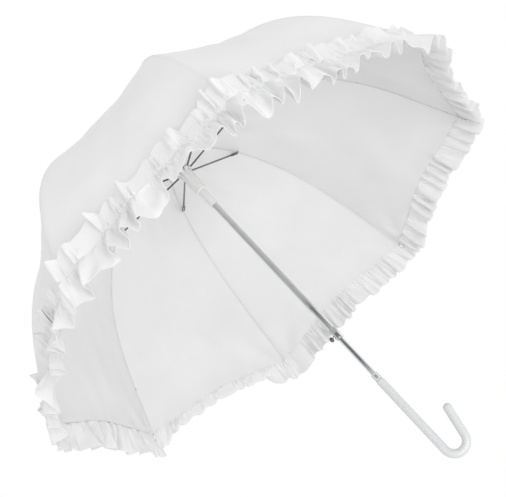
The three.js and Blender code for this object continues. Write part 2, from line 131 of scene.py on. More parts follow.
def linear(hex_colour):
    """An sRGB hex colour as linear red, green, blue."""
    parts = [int(hex_colour[i : i + 2], 16) / 255 for i in (1, 3, 5)]
    return [c / 12.92 if c <= 0.04045 else ((c + 0.055) / 1.055) ** 2.4 for c in parts]


def length(name, description, millimetres):
    return FloatProperty(
        name=name, description=description, default=millimetres * MM, unit="LENGTH", precision=5
    )


def colour(name, description, hex_colour):
    return FloatVectorProperty(
        name=name, description=description, default=linear(hex_colour), subtype="COLOR", min=0, max=1
    )


class ParasolSizes(bpy.types.PropertyGroup):
    cloth: length("Cloth", "Thickness of the canopy cloth", 0.5)
    panel_sag: length("Panel sag", "Dip of a panel halfway between two ribs", 9)
    hem_inset: length("Hem inset", "Hem to the rib's end, along the rib", 18)
    hem_scallop: length("Hem scallop", "Rise of the hem halfway between two ribs", 12)
    hem_width: length("Hem width", "Turned and sewn band along the canopy's edge", 9)
    seam_width: length("Seam width", "Flat-felled seam over each rib", 6)
    crown_opening: length("Crown opening", "Radius of the canopy's hole round the shaft", 8.5)
    frill_width: length("Frill width", "Sewing line to the free edge of the gathered frill", 42)
    frill_header: length("Frill header", "Gathered cloth above the sewing line", 28)
    frill_wave: length("Frill wave", "Height of a gather at the free edge", 6.5)
    stitch_length: length("Stitch length", "One sewn stitch", 2.1)
    stitch_pitch: length("Stitch pitch", "Start of one stitch to the start of the next", 3.0)
    thread: length("Thread", "Radius of the sewing thread", 0.16)
    gathers: IntProperty(
        name="Gathers", description="Folds of the frill round the whole rim", default=90, min=16
    )
    bands: IntProperty(name="Bands", description="Rings of cloth that fold on their own", default=14, min=1)


class ParasolColours(bpy.types.PropertyGroup):
    cloth: colour("Cloth", "White woven cloth", "#F3F3F3")
    thread: colour("Thread", "White sewing thread", "#ECEBE7")
    gloss: colour("Handle", "Glossy moulded plastic", "#CBCCCD")
    matt: colour("Runner", "Matt moulded plastic", "#E4E4E3")
    chrome: colour("Chrome", "Plated steel tube", "#EAEBED")
    enamel: colour("Rib enamel", "Painted rib wire", "#DCDCDC")
    steel: colour("Steel", "Plated steel wire", "#6A6C6F")
    floor: colour("Floor", "Studio floor", "#F4F4F3")


def sizes():
    return bpy.context.scene.parasol_sizes


def colours():
    return bpy.context.scene.parasol_colours


# ---- the ribs' bow ------------------------------------------------------------------------
# Every rib leaves the crown level and bends over a middle stretch. The cloth follows it.

BEND_START = 0.05
BEND_END = 0.85
BOW_STEPS = 520
RIB_HALF = 1.0 * MM


def smooth(t):
    c = np.clip(t, 0, 1)
    return c * c * (3 - 2 * c)


def slope_at(share, turn):
    return turn * smooth((share - BEND_START) / (BEND_END - BEND_START))


def unit_bow(turn):
    """A bow one unit long: its radius and its drop, at BOW_STEPS + 1 points."""
    slope = slope_at((np.arange(BOW_STEPS) + 0.5) / BOW_STEPS, turn)
    out = np.concatenate([[0], np.cumsum(np.cos(slope))]) / BOW_STEPS
    down = np.concatenate([[0], np.cumsum(np.sin(slope))]) / BOW_STEPS
    return out, down


def solve_bow():
    low, high = 0.1, 2.4
    for _ in range(50):
        middle = (low + high) / 2
        out, down = unit_bow(middle)
        if down[-1] / out[-1] > DOME_HEIGHT / (RIM_RADIUS - CROWN_RING):
            high = middle
        else:
            low = middle
    turn = (low + high) / 2
    out, down = unit_bow(turn)
    return turn, (RIM_RADIUS - CROWN_RING) / out[-1], out, down


BOW_TURN, BOW_LENGTH, BOW_OUT, BOW_DOWN = solve_bow()


def rib_at(share):
    """Radius, height and slope of the rib's centreline. It runs on straight before 0 and after 1."""
    share = np.asarray(share, float)
    inside = np.clip(share, 0, 1)
    at = np.linspace(0, 1, BOW_STEPS + 1)
    beyond = (share - inside) * BOW_LENGTH
    slope = slope_at(inside, BOW_TURN)
    radius = CROWN_RING + BOW_LENGTH * np.interp(inside, at, BOW_OUT) + beyond * np.cos(slope)
    height = CROWN.z - BOW_LENGTH * np.interp(inside, at, BOW_DOWN) - beyond * np.sin(slope)
    return radius, height, slope


def rib_point(number, share, lift=0.0):
    """One point of a rib's line, raised by lift along its outward normal."""
    radius, height, slope = (float(v) for v in rib_at(share))
    radius += lift * math.sin(slope)
    height += lift * math.cos(slope)
    angle = rib_angle(number)
    return Vector((radius * math.cos(angle), radius * math.sin(angle), height))


# ---- the cloth's surface ------------------------------------------------------------------
# theta is the angle round the shaft from the first rib, so neighbouring pieces meet exactly.

RIDGE = 1.6 * MM
TURN_BACK = 0.4  # share of the skirt over which it bends where it turns outwards
STRAIGHT_BEFORE_FOLD = 0.32  # share of the skirt that hangs straight where it is turned right back
HANDLED_SIDE = math.radians(215)  # where the frill is most ruffled by handling
FOLDED_PANEL = math.radians(128)  # middle of the panel where the skirt is turned right back
FOLDED_HALF = math.radians(21)
FOLDED_FADE = math.radians(9)
FOLDED_DEGREES = 148
CROWN_LIFT = 4.3 * MM
CLOTH_ON_RIB = RIB_HALF + 0.45 * MM


def from_rib(theta):
    """Angle from the nearest rib, from minus to plus half a pitch."""
    return (theta + HALF_PITCH) % PITCH - HALF_PITCH


def hem_share(theta):
    s = sizes()
    across = np.abs(from_rib(theta)) / HALF_PITCH
    return 1 - (s.hem_inset + s.hem_scallop * np.sin(math.pi / 2 * across) ** 2) / BOW_LENGTH


def gather_phase(theta):
    """Phase of the frill's gathers, uneven round the rim as hand-fed cloth is."""
    drift = 2.2 * np.sin(5 * theta + 0.7) + 1.7 * np.sin(13 * theta + 2.1)
    drift = drift - 20 * np.sin(theta + FIRST_RIB - HANDLED_SIDE)
    return sizes().gathers * theta + drift + 1.1 * np.sin(29 * theta + 4.0) + 0.7 * np.sin(47 * theta + 1.3)


def cloth_lift(share, theta):
    """Small creases of the canopy: slack between the ribs, pull at the rib ends, puckers at the hem."""
    turn = from_rib(theta)
    radius, _, _ = rib_at(share)
    across = np.abs(turn) / HALF_PITCH
    between = np.sin(math.pi * across / 2) ** 2
    slack = np.sin(11 * theta + 9 * share + 0.5) + np.sin(19 * theta - 14 * share + 2.4)
    slack = slack + 0.7 * np.sin(35 * theta + 23 * share + 1.1)
    to_hem = np.maximum((hem_share(theta) - share) * BOW_LENGTH, 0)
    beside = radius * turn
    corner = np.exp(-((beside / 0.075) ** 2) - (to_hem / 0.11) ** 2)
    pull = corner * np.sin(8 * np.arctan2(beside, to_hem + 0.02))
    pucker = np.exp(-to_hem / 0.016) * np.sin(gather_phase(theta))
    lift = 0.9 * MM * slack * between * smooth(share * 4)
    return lift + 1.6 * MM * pull * (1 - between) + 0.7 * MM * pucker


def cloth(share, theta, raised=0.0):
    """Points on the outer face of the canopy."""
    s = sizes()
    turn = from_rib(theta)
    radius, height, slope = rib_at(share)
    off = np.minimum(np.sqrt(turn**2 + (RIDGE / radius) ** 2), HALF_PITCH)
    across = off / HALF_PITCH
    chord = math.cos(HALF_PITCH) / np.cos(HALF_PITCH - off)
    sag = s.panel_sag * np.sin(math.pi * np.clip(share, 0, 1)) * (1 - (1 - across) ** 2)
    lift = CLOTH_ON_RIB + (CROWN_LIFT - CLOTH_ON_RIB) * (1 - smooth(share / 0.1)) + s.cloth
    lift = lift - sag + raised + cloth_lift(share, theta)
    out = (radius + np.sin(slope) * lift) * chord
    angle = theta + FIRST_RIB
    return np.stack([out * np.cos(angle), out * np.sin(angle), height + np.cos(slope) * lift], -1)


def nearness(theta):
    """1 on the side where the frill is most ruffled by handling, 0 opposite it."""
    return 0.5 + 0.5 * np.cos(theta + FIRST_RIB - HANDLED_SIDE)


def folded_back(theta):
    """1 on the panel where the skirt is turned right back over the hem, 0 elsewhere."""
    away = (theta + FIRST_RIB - FOLDED_PANEL + math.pi) % (2 * math.pi) - math.pi
    return smooth((FOLDED_HALF - np.abs(away)) / FOLDED_FADE)


def frill_flip(theta):
    """Angle by which the skirt turns outwards: a little all round, and past the hem on one panel."""
    uneven = 0.6 * np.sin(7 * theta + 1.9) + 0.5 * np.sin(17 * theta + 0.3)
    back = folded_back(theta)
    lightly = 3 + (5 + 17 * nearness(theta)) * uneven
    return np.radians(lightly * (1 - back) + FOLDED_DEGREES * back)


def gather_height(run, theta):
    """How far the gathers of the frill stand out; run is negative on the header."""
    s = sizes()
    phase = gather_phase(theta)
    away = np.abs(run)
    late = away**0.7
    near = nearness(theta)
    broad = 1 + 0.3 * np.sin(9 * theta + 2.2) + 0.22 * np.sin(31 * theta + 0.4)
    wave = s.frill_wave * (1 + 0.35 * near) * late * broad * np.sin(phase + 0.5 * run * np.sin(12 * theta))
    wave = wave + 3.2 * MM * (0.5 + near) * late * np.sin(phase / 2 + 1.6 * np.sin(4 * theta) + 1.5 * run)
    pinch = (0.6 + 0.8 * near) * np.exp(-away / 0.5) * smooth(away * 9)
    wave = wave + 1.1 * MM * np.sin(2 * phase + 1.2 + 4 * run) * (1 - away) * smooth(away * 6)
    wave = wave + 1.3 * MM * pinch * np.sin(4 * phase + 2 * np.sin(9 * theta) + 1.5 * run)
    wave = wave + 0.8 * MM * pinch * np.sin(7 * phase + 3 * np.sin(14 * theta))
    wave = wave + 0.9 * MM * (0.4 + near) * late * np.sin(3 * phase + 5 * run + 0.8 * np.sin(23 * theta))
    wave = wave + 1.7 * MM * near * late * np.sin(1.5 * phase + 6 * run + 2 * np.sin(5 * theta))
    wave = wave * (1 - 0.75 * folded_back(theta) * smooth(run * 5))
    return wave + 0.7 * MM * np.sin(phase) * (1 - smooth(away * 5))


def frill(run, theta):
    """Points on the outer face of the frill: run is 0 at the sewing line, 1 at the free edge below it,
    and negative on the header, which lies back over the canopy."""
    s = sizes()
    away = np.abs(run)
    hem = hem_share(theta)
    phase = gather_phase(theta)
    ragged = 1 + nearness(theta) * (0.14 * np.sin(phase + 2.2) + 0.12 * np.sin(27 * theta + 1.0))
    header = np.clip(-run, 0, None) * s.frill_width * ragged
    skirt = np.clip(run, 0, None)
    start = hem - header / BOW_LENGTH
    seam = cloth(start, theta)
    _, _, slope = rib_at(start)
    flip = frill_flip(theta)
    flip = np.where(np.abs(flip) < 1e-3, 1e-3, flip)
    straight = STRAIGHT_BEFORE_FOLD * folded_back(theta)
    bent = flip * np.clip((skirt - straight) / TURN_BACK, 0, 1)
    beyond = np.maximum(skirt - straight - TURN_BACK, 0)
    wave = gather_height(run, theta)
    lean = 10 + 7 * np.sin(11 * theta + 0.8) + (5 + 8 * np.sin(19 * theta)) * nearness(theta)
    stand = (1 - 0.7 * smooth((flip - 1.2) / 0.8)) * header * np.tan(np.radians(lean))
    rise = 1.1 * MM + np.where(run < 0, stand + 0.65 * wave + 0.6 * np.abs(wave), wave)
    side = -0.27 * away**0.7 * np.sin(2 * phase + 0.7 * np.sin(6 * theta)) * RIM_RADIUS / s.gathers
    uneven = 0.05 * np.sin(37 * theta + 1.0) + 0.045 * np.sin(23 * theta + 4.4) - 0.05 * np.sin(phase + 0.9)
    drop = s.frill_width * (1 + uneven * skirt)
    angle = theta + FIRST_RIB
    radial = np.stack([np.cos(angle), np.sin(angle), np.zeros_like(angle)], -1)
    around = np.stack([-np.sin(angle), np.cos(angle), np.zeros_like(angle)], -1)
    up = np.array([0.0, 0.0, 1.0])
    down = radial * np.cos(slope)[..., None] - up * np.sin(slope)[..., None]
    off = radial * np.sin(slope)[..., None] + up * np.cos(slope)[..., None]
    forward = (np.minimum(skirt, straight) + TURN_BACK / flip * np.sin(bent) + beyond * np.cos(flip)) * drop
    outward = (TURN_BACK / flip * (1 - np.cos(bent)) + beyond * np.sin(flip)) * drop
    forward = forward - np.sin(bent) * rise
    outward = outward + np.cos(bent) * rise
    return seam + down * forward[..., None] + off * outward[..., None] + around * side[..., None]


# ---- meshes -------------------------------------------------------------------------------


def link(name, mesh):
    made = bpy.data.objects.new(name, mesh)
    bpy.context.scene.collection.objects.link(made)
    return made


def surface_normals(place, first, second):
    """Unit normals of a surface given as place(first, second), by small steps each way."""
    step = 1e-4
    along = place(first + step, second) - place(first - step, second)
    across = place(first, second + step) - place(first, second - step)
    normals = np.cross(along, across)
    normals /= np.linalg.norm(normals, axis=-1, keepdims=True)
    return normals


def sheet_mesh(name, outer, normals, thickness, uv, material):
    """A closed sheet: outer face, inner face, and a wall round the edge. Arrays are rows by columns."""
    rows, columns = outer.shape[:2]
    inner = outer - normals * np.broadcast_to(thickness, (rows, columns))[..., None]
    points = np.concatenate([outer.reshape(-1, 3), inner.reshape(-1, 3)])
    index = np.arange(rows * columns).reshape(rows, columns)
    a, b, c, d = index[:-1, :-1], index[1:, :-1], index[1:, 1:], index[:-1, 1:]
    top = np.stack([a, b, c, d], -1).reshape(-1, 4)
    under = top[:, ::-1] + rows * columns
    edge = np.concatenate([index[0, :-1], index[:-1, -1], index[-1, :0:-1], index[:0:-1, 0]])
    after = np.roll(edge, -1)
    wall = np.stack([edge, after, after + rows * columns, edge + rows * columns], -1)
    faces = np.concatenate([top, under, wall])
    mesh = bpy.data.meshes.new(name)
    mesh.from_pydata(points.tolist(), [], faces.tolist())
    mesh.polygons.foreach_set("use_smooth", np.ones(len(faces), bool))
    layer = mesh.uv_layers.new(name="weave")
    corner = np.empty(len(mesh.loops), np.int32)
    mesh.loops.foreach_get("vertex_index", corner)
    flat_uv = uv.reshape(-1, 2)[corner % (rows * columns)]
    layer.data.foreach_set("uv", flat_uv.astype(np.float32).ravel())
    both = np.concatenate([normals.reshape(-1, 3), -normals.reshape(-1, 3)])
    at_corner = both[faces].reshape(-1, 3)
    across = np.cross(points[wall[:, 1]] - points[wall[:, 0]], points[wall[:, 3]] - points[wall[:, 0]])
    across /= np.maximum(np.linalg.norm(across, axis=1, keepdims=True), 1e-12)
    at_corner[-4 * len(wall):] = np.repeat(across, 4, axis=0)
    mesh.normals_split_custom_set(at_corner.tolist())
    mesh.materials.append(material)
    return link(name, mesh)


def swept(name, path, radii, material, sides=32):
    """A round bar along a path of points, closed by a point or a flat fan at each end."""
    path = np.asarray(path, float)
    radii = np.broadcast_to(radii, len(path))
    ahead = np.gradient(path, axis=0)
    ahead /= np.linalg.norm(ahead, axis=1, keepdims=True)
    side = np.cross(ahead[0], (0, 1, 0) if abs(ahead[0][1]) < 0.9 else (1, 0, 0))
    rings = []
    for point, tangent, radius in zip(path, ahead, radii):
        side = side - tangent * (side @ tangent)
        side = side / np.linalg.norm(side)
        other = np.cross(tangent, side)
        turn = np.arange(sides) * 2 * math.pi / sides
        rings.append(point + radius * (np.outer(np.cos(turn), side) + np.outer(np.sin(turn), other)))
    points = np.concatenate([*rings, path[:1], path[-1:]])
    first, last = len(points) - 2, len(points) - 1
    faces = []
    for i in range(len(path) - 1):
        for j in range(sides):
            k = (j + 1) % sides
            faces.append((i * sides + j, i * sides + k, (i + 1) * sides + k, (i + 1) * sides + j))
    for j in range(sides):
        k = (j + 1) % sides
        faces.append((first, k, j))
        faces.append((last, last - 1 - sides + j, last - 1 - sides + k))
    mesh = bpy.data.meshes.new(name)
    mesh.from_pydata(points.tolist(), [], faces)
    made = link(name, mesh)
    tidy_mesh(made, 40)
    mesh.materials.append(material)
    return made


def tidy_mesh(made, sharp_degrees):
    """Merges doubles, turns the faces outwards, and shades smooth below an angle."""
    work = bmesh.new()
    work.from_mesh(made.data)
    bmesh.ops.remove_doubles(work, verts=work.verts, dist=1e-6)
    bmesh.ops.recalc_face_normals(work, faces=work.faces)
    work.to_mesh(made.data)
    work.free()
    made.data.shade_smooth()
    made.data.set_sharp_from_angle(angle=math.radians(sharp_degrees))


def apply_modifiers(made):
    """Turns the object and its live modifiers into one plain mesh."""
    evaluated = made.evaluated_get(bpy.context.evaluated_depsgraph_get())
    plain = bpy.data.meshes.new_from_object(evaluated)
    made.modifiers.clear()
    old = made.data
    made.data = plain
    bpy.data.meshes.remove(old)


def softened(name, node, material, radius=0.25, segments=2):
    """A finer copy of a CAD node, with its hard edges rounded as moulding or turning leaves them."""
    source = frame["nodes"][node]
    made = link(name, source.data.copy())
    made.data.materials.clear()
    made.data.materials.append(material)
    work = bmesh.new()
    work.from_mesh(made.data)
    bmesh.ops.remove_doubles(work, verts=work.verts, dist=1e-6)
    bmesh.ops.dissolve_limit(work, angle_limit=math.radians(1), verts=work.verts, edges=work.edges)
    work.to_mesh(made.data)
    work.free()
    for polygon in made.data.polygons:
        polygon.material_index = 0
    bevel = made.modifiers.new("edges", "BEVEL")
    bevel.width = radius * MM
    bevel.segments = segments
    bevel.limit_method = "ANGLE"
    bevel.angle_limit = math.radians(32)
    bevel.use_clamp_overlap = True
    bevel.harden_normals = False
    apply_modifiers(made)
    made.data.shade_smooth()
    made.data.set_sharp_from_angle(angle=math.radians(38))
    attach(made, source["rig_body"])
    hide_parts(node)
    return made


# ---- materials ----------------------------------------------------------------------------

# The span of values that a noise pattern really fills.
NOISE_SPAN = {"From Min": 0.35, "From Max": 0.65}


def add_node(tree, kind, inputs=None, **settings):
    """Adds a node with its settings; an input given a socket is linked, any other value is set."""
    made = tree.nodes.new(kind)
    for name, value in settings.items():
        setattr(made, name, value)
    for name, value in (inputs or {}).items():
        if isinstance(value, bpy.types.NodeSocket):
            tree.links.new(value, made.inputs[name])
        else:
            made.inputs[name].default_value = value
    return made


def rgba(colour_value, factor=1.0):
    return (*(c * factor for c in colour_value), 1)


def new_material(name):
    """An empty node material, its Principled shader, and its tree."""
    made = bpy.data.materials.new(name)
    made.use_nodes = True
    tree = made.node_tree
    shader = tree.nodes["Principled BSDF"]
    return made, tree, shader


def wave_scale(pitch):
    """Scale of a sine Wave Texture whose bands come every pitch metres."""
    return math.pi / (10 * pitch)


def cloth_material():
    """Woven polyester pongee: plain weave, calendered, so it is smooth and faintly glossy with a soft
    sheen, and thin enough to let light through. The 0.2 mm threads are too fine to show, so they are
    drawn at 0.9 mm."""
    made, tree, shader = new_material("polyester_pongee_woven_white")
    base = colours().cloth
    uv = add_node(tree, "ShaderNodeUVMap", uv_map="weave").outputs["UV"]
    place = add_node(tree, "ShaderNodeTexCoord").outputs["Object"]
    scale = wave_scale(0.9 * MM)
    warp = add_node(tree, "ShaderNodeTexWave", {"Vector": uv, "Scale": scale}, bands_direction="X")
    weft = add_node(tree, "ShaderNodeTexWave", {"Vector": uv, "Scale": scale}, bands_direction="Y")
    weave = add_node(tree, "ShaderNodeMath", operation="MULTIPLY")
    tree.links.new(warp.outputs["Fac"], weave.inputs[0])
    tree.links.new(weft.outputs["Fac"], weave.inputs[1])
    slub = add_node(tree, "ShaderNodeTexNoise", {"Vector": uv, "Scale": 420.0, "Detail": 3.0}).outputs["Fac"]
    crease = add_node(
        tree, "ShaderNodeTexNoise", {"Vector": place, "Scale": 26.0, "Detail": 4.0}
    ).outputs["Fac"]
    cloudy = add_node(
        tree, "ShaderNodeTexNoise", {"Vector": place, "Scale": 9.0, "Detail": 2.0}
    ).outputs["Fac"]
    clouds = add_node(tree, "ShaderNodeMapRange", {"Value": cloudy, **NOISE_SPAN}).outputs["Result"]
    tone = add_node(
        tree, "ShaderNodeMix", {"Factor": clouds, "A": rgba(base), "B": rgba(base, 0.965)}, data_type="RGBA"
    )
    threads = add_node(
        tree, "ShaderNodeMix",
        {"Factor": weave.outputs[0], "A": rgba((0.93, 0.93, 0.935)), "B": rgba((1, 1, 1))}, data_type="RGBA",
    )
    shade = add_node(tree, "ShaderNodeMix", {"Factor": 1.0}, data_type="RGBA", blend_type="MULTIPLY")
    tree.links.new(tone.outputs["Result"], shade.inputs["A"])
    tree.links.new(threads.outputs["Result"], shade.inputs["B"])
    tree.links.new(shade.outputs["Result"], shader.inputs["Base Color"])
    rough = add_node(
        tree, "ShaderNodeMapRange", {"Value": slub, **NOISE_SPAN, "To Min": 0.62, "To Max": 0.78}
    )
    tree.links.new(rough.outputs["Result"], shader.inputs["Roughness"])
    soft = add_node(
        tree, "ShaderNodeBump", {"Height": crease, "Strength": 0.12, "Distance": 1.2 * MM}
    )
    fine = add_node(
        tree,
        "ShaderNodeBump",
        {
            "Height": weave.outputs[0],
            "Strength": 0.25,
            "Distance": 0.12 * MM,
            "Normal": soft.outputs["Normal"],
        },
    )
    tree.links.new(fine.outputs["Normal"], shader.inputs["Normal"])
    shader.inputs["Sheen Weight"].default_value = 0.18
    shader.inputs["Sheen Roughness"].default_value = 0.45
    shader.inputs["Specular IOR Level"].default_value = 0.3
    glow = add_node(tree, "ShaderNodeBsdfTranslucent", {"Color": shade.outputs["Result"]})
    both = add_node(tree, "ShaderNodeMixShader", {"Fac": 0.18})
    tree.links.new(shader.outputs["BSDF"], both.inputs[1])
    tree.links.new(glow.outputs["BSDF"], both.inputs[2])
    tree.links.new(both.outputs["Shader"], tree.nodes["Material Output"].inputs["Surface"])
    return made


def thread_material():
    """Spun polyester sewing thread: two plies twisted, with slanting turns; the darker turns are painted
    shade in the grooves between the plies.
    """
    made, tree, shader = new_material("polyester_thread_twisted_white")
    base = colours().thread
    place = add_node(tree, "ShaderNodeTexCoord").outputs["Object"]
    slant = add_node(
        tree, "ShaderNodeMapping", {"Vector": place, "Rotation": (0.6, 0.6, 0.8)}
    ).outputs["Vector"]
    ply = add_node(tree, "ShaderNodeTexWave", {"Vector": slant, "Scale": wave_scale(0.5 * MM)}).outputs["Fac"]
    # Darker colour in the grooves between the plies: painted shade.
    tone = add_node(
        tree, "ShaderNodeMix", {"Factor": ply, "A": rgba(base, 0.86), "B": rgba(base)}, data_type="RGBA"
    )
    tree.links.new(tone.outputs["Result"], shader.inputs["Base Color"])
    rough = add_node(tree, "ShaderNodeMapRange", {"Value": ply, **NOISE_SPAN, "To Min": 0.8, "To Max": 0.6})
    tree.links.new(rough.outputs["Result"], shader.inputs["Roughness"])
    bump = add_node(tree, "ShaderNodeBump", {"Height": ply, "Strength": 0.4, "Distance": 0.08 * MM})
    tree.links.new(bump.outputs["Normal"], shader.inputs["Normal"])
    shader.inputs["Sheen Weight"].default_value = 0.2
    return made


def gloss_material():
    """Injection-moulded ABS: a hard white gloss with faint flow marks and hairline handling scratches."""
    made, tree, shader = new_material("abs_moulded_gloss_white")
    base = colours().gloss
    place = add_node(tree, "ShaderNodeTexCoord").outputs["Object"]
    flow = add_node(
        tree, "ShaderNodeTexNoise", {"Vector": place, "Scale": 60.0, "Detail": 2.0}
    ).outputs["Fac"]
    long = add_node(tree, "ShaderNodeMapping", {"Vector": place, "Scale": (1.0, 1.0, 0.12)}).outputs["Vector"]
    rub = add_node(tree, "ShaderNodeTexNoise", {"Vector": long, "Scale": 90.0, "Detail": 1.0}).outputs["Fac"]
    tone = add_node(
        tree, "ShaderNodeMix", {"Factor": flow, "A": rgba(base, 0.975), "B": rgba(base)}, data_type="RGBA"
    )
    tree.links.new(tone.outputs["Result"], shader.inputs["Base Color"])
    rough = add_node(
        tree, "ShaderNodeMapRange", {"Value": rub, **NOISE_SPAN, "To Min": 0.24, "To Max": 0.3}
    )
    tree.links.new(rough.outputs["Result"], shader.inputs["Roughness"])
    bump = add_node(tree, "ShaderNodeBump", {"Height": flow, "Strength": 0.05, "Distance": 0.3 * MM})
    tree.links.new(bump.outputs["Normal"], shader.inputs["Normal"])
    shader.inputs["IOR"].default_value = 1.53
    return made


def matt_material():
    """Moulded acetal from a spark-eroded tool: an even satin grain of about 0.3 mm."""
    made, tree, shader = new_material("acetal_moulded_satin_white")
    base = colours().matt
    place = add_node(tree, "ShaderNodeTexCoord").outputs["Object"]
    grain = add_node(
        tree, "ShaderNodeTexNoise", {"Vector": place, "Scale": 3300.0, "Detail": 2.0}
    ).outputs["Fac"]
    cloudy = add_node(
        tree, "ShaderNodeTexNoise", {"Vector": place, "Scale": 90.0, "Detail": 2.0}
    ).outputs["Fac"]
    tone = add_node(
        tree, "ShaderNodeMix", {"Factor": cloudy, "A": rgba(base, 0.95), "B": rgba(base)}, data_type="RGBA"
    )
    tree.links.new(tone.outputs["Result"], shader.inputs["Base Color"])
    rough = add_node(
        tree, "ShaderNodeMapRange", {"Value": cloudy, **NOISE_SPAN, "To Min": 0.4, "To Max": 0.52}
    )
    tree.links.new(rough.outputs["Result"], shader.inputs["Roughness"])
    bump = add_node(tree, "ShaderNodeBump", {"Height": grain, "Strength": 0.25, "Distance": 0.06 * MM})
    tree.links.new(bump.outputs["Normal"], shader.inputs["Normal"])
    shader.inputs["IOR"].default_value = 1.48
    return made


def chrome_material():
    """Chrome-plated drawn steel: mirror bright, with long faint drawing lines and slight clouding. Long
    darker and brighter stripes along the tube are partly drawing streaks and partly painted reflection.
    """
    made, tree, shader = new_material("steel_tube_chrome_plated")
    base = colours().chrome
    place = add_node(tree, "ShaderNodeTexCoord").outputs["Object"]
    drawn = add_node(
        tree, "ShaderNodeMapping", {"Vector": place, "Scale": (1.0, 1.0, 0.02)}
    ).outputs["Vector"]
    lines = add_node(
        tree, "ShaderNodeTexNoise", {"Vector": drawn, "Scale": 2200.0, "Detail": 3.0}
    ).outputs["Fac"]
    cloudy = add_node(
        tree, "ShaderNodeTexNoise", {"Vector": place, "Scale": 70.0, "Detail": 3.0}
    ).outputs["Fac"]
    # Long stripes along the tube, from 0.78 to 1.08 of the colour: partly drawing streaks, partly painted
    # reflection of dark and bright surroundings.
    stripe_space = add_node(tree, "ShaderNodeMapping", {"Vector": place, "Scale": (1.0, 1.0, 0.002)}).outputs["Vector"]
    drawn_streaks_and_painted_reflection = add_node(
        tree, "ShaderNodeTexNoise", {"Vector": stripe_space, "Scale": 300.0, "Detail": 1.0}
    ).outputs["Fac"]
    span = {"From Min": 0.42, "From Max": 0.6}
    stripe_mask = add_node(tree, "ShaderNodeMapRange", {"Value": drawn_streaks_and_painted_reflection, **span}).outputs["Result"]
    streak_and_reflection_tone = add_node(
        tree, "ShaderNodeMix",
        {"Factor": stripe_mask, "A": rgba(base, 0.78), "B": rgba(base, 1.08)}, data_type="RGBA",
    )
    clouds = add_node(
        tree, "ShaderNodeMix",
        {"Factor": cloudy, "A": rgba((0.88,) * 3), "B": rgba((1,) * 3)}, data_type="RGBA",
    )
    tone = add_node(tree, "ShaderNodeMix", {"Factor": 1.0}, data_type="RGBA", blend_type="MULTIPLY")
    tree.links.new(streak_and_reflection_tone.outputs["Result"], tone.inputs["A"])
    tree.links.new(clouds.outputs["Result"], tone.inputs["B"])
    tree.links.new(tone.outputs["Result"], shader.inputs["Base Color"])
    rough = add_node(
        tree, "ShaderNodeMapRange", {"Value": lines, **NOISE_SPAN, "To Min": 0.1, "To Max": 0.2}
    )
    tree.links.new(rough.outputs["Result"], shader.inputs["Roughness"])
    bump = add_node(tree, "ShaderNodeBump", {"Height": lines, "Strength": 0.12, "Distance": 0.03 * MM})
    tree.links.new(bump.outputs["Normal"], shader.inputs["Normal"])
    shader.inputs["Metallic"].default_value = 1.0
    return made


def enamel_material():
    """Stove-enamelled wire: pale grey paint with a light orange peel and small worn specks."""
    made, tree, shader = new_material("rib_wire_stove_enamel")
    base = colours().enamel
    place = add_node(tree, "ShaderNodeTexCoord").outputs["Object"]
    peel = add_node(
        tree, "ShaderNodeTexNoise", {"Vector": place, "Scale": 700.0, "Detail": 2.0}
    ).outputs["Fac"]
    specks = add_node(
        tree, "ShaderNodeTexNoise", {"Vector": place, "Scale": 240.0, "Detail": 5.0}
    ).outputs["Fac"]
    span = {"From Min": 0.68, "From Max": 0.74}
    worn = add_node(tree, "ShaderNodeMapRange", {"Value": specks, **span}).outputs["Result"]
    tone = add_node(
        tree, "ShaderNodeMix",
        {"Factor": worn, "A": rgba(base), "B": rgba(colours().steel)}, data_type="RGBA",
    )
    tree.links.new(tone.outputs["Result"], shader.inputs["Base Color"])
    rough = add_node(
        tree, "ShaderNodeMapRange", {"Value": peel, **NOISE_SPAN, "To Min": 0.28, "To Max": 0.42}
    )
    tree.links.new(rough.outputs["Result"], shader.inputs["Roughness"])
    bump = add_node(tree, "ShaderNodeBump", {"Height": peel, "Strength": 0.2, "Distance": 0.05 * MM})
    tree.links.new(bump.outputs["Normal"], shader.inputs["Normal"])
    return made


def steel_material():
    """Nickel-plated spring steel wire: dark, half bright, with drawing marks and dull patches."""
    made, tree, shader = new_material("steel_wire_nickel_plated")
    base = colours().steel
    place = add_node(tree, "ShaderNodeTexCoord").outputs["Object"]
    marks = add_node(
        tree, "ShaderNodeTexNoise", {"Vector": place, "Scale": 1500.0, "Detail": 3.0}
    ).outputs["Fac"]
    dull = add_node(
        tree, "ShaderNodeTexNoise", {"Vector": place, "Scale": 130.0, "Detail": 4.0}
    ).outputs["Fac"]
    tone = add_node(
        tree, "ShaderNodeMix",
        {"Factor": dull, "A": rgba(base, 0.7), "B": rgba(base, 1.15)}, data_type="RGBA",
    )
    tree.links.new(tone.outputs["Result"], shader.inputs["Base Color"])
    rough = add_node(
        tree, "ShaderNodeMapRange", {"Value": dull, **NOISE_SPAN, "To Min": 0.24, "To Max": 0.44}
    )
    tree.links.new(rough.outputs["Result"], shader.inputs["Roughness"])
    bump = add_node(tree, "ShaderNodeBump", {"Height": marks, "Strength": 0.2, "Distance": 0.03 * MM})
    tree.links.new(bump.outputs["Normal"], shader.inputs["Normal"])
    shader.inputs["Metallic"].default_value = 1.0
    return made


def floor_material():
    """Rolled studio paper: matt, with a faint tooth."""
    made, tree, shader = new_material("paper_rolled_studio")
    base = colours().floor
    place = add_node(tree, "ShaderNodeTexCoord").outputs["Object"]
    tooth = add_node(
        tree, "ShaderNodeTexNoise", {"Vector": place, "Scale": 40.0, "Detail": 3.0}
    ).outputs["Fac"]
    tone = add_node(
        tree, "ShaderNodeMix", {"Factor": tooth, "A": rgba(base, 0.98), "B": rgba(base)}, data_type="RGBA"
    )
    tree.links.new(tone.outputs["Result"], shader.inputs["Base Color"])
    shader.inputs["Roughness"].default_value = 0.9
    return made


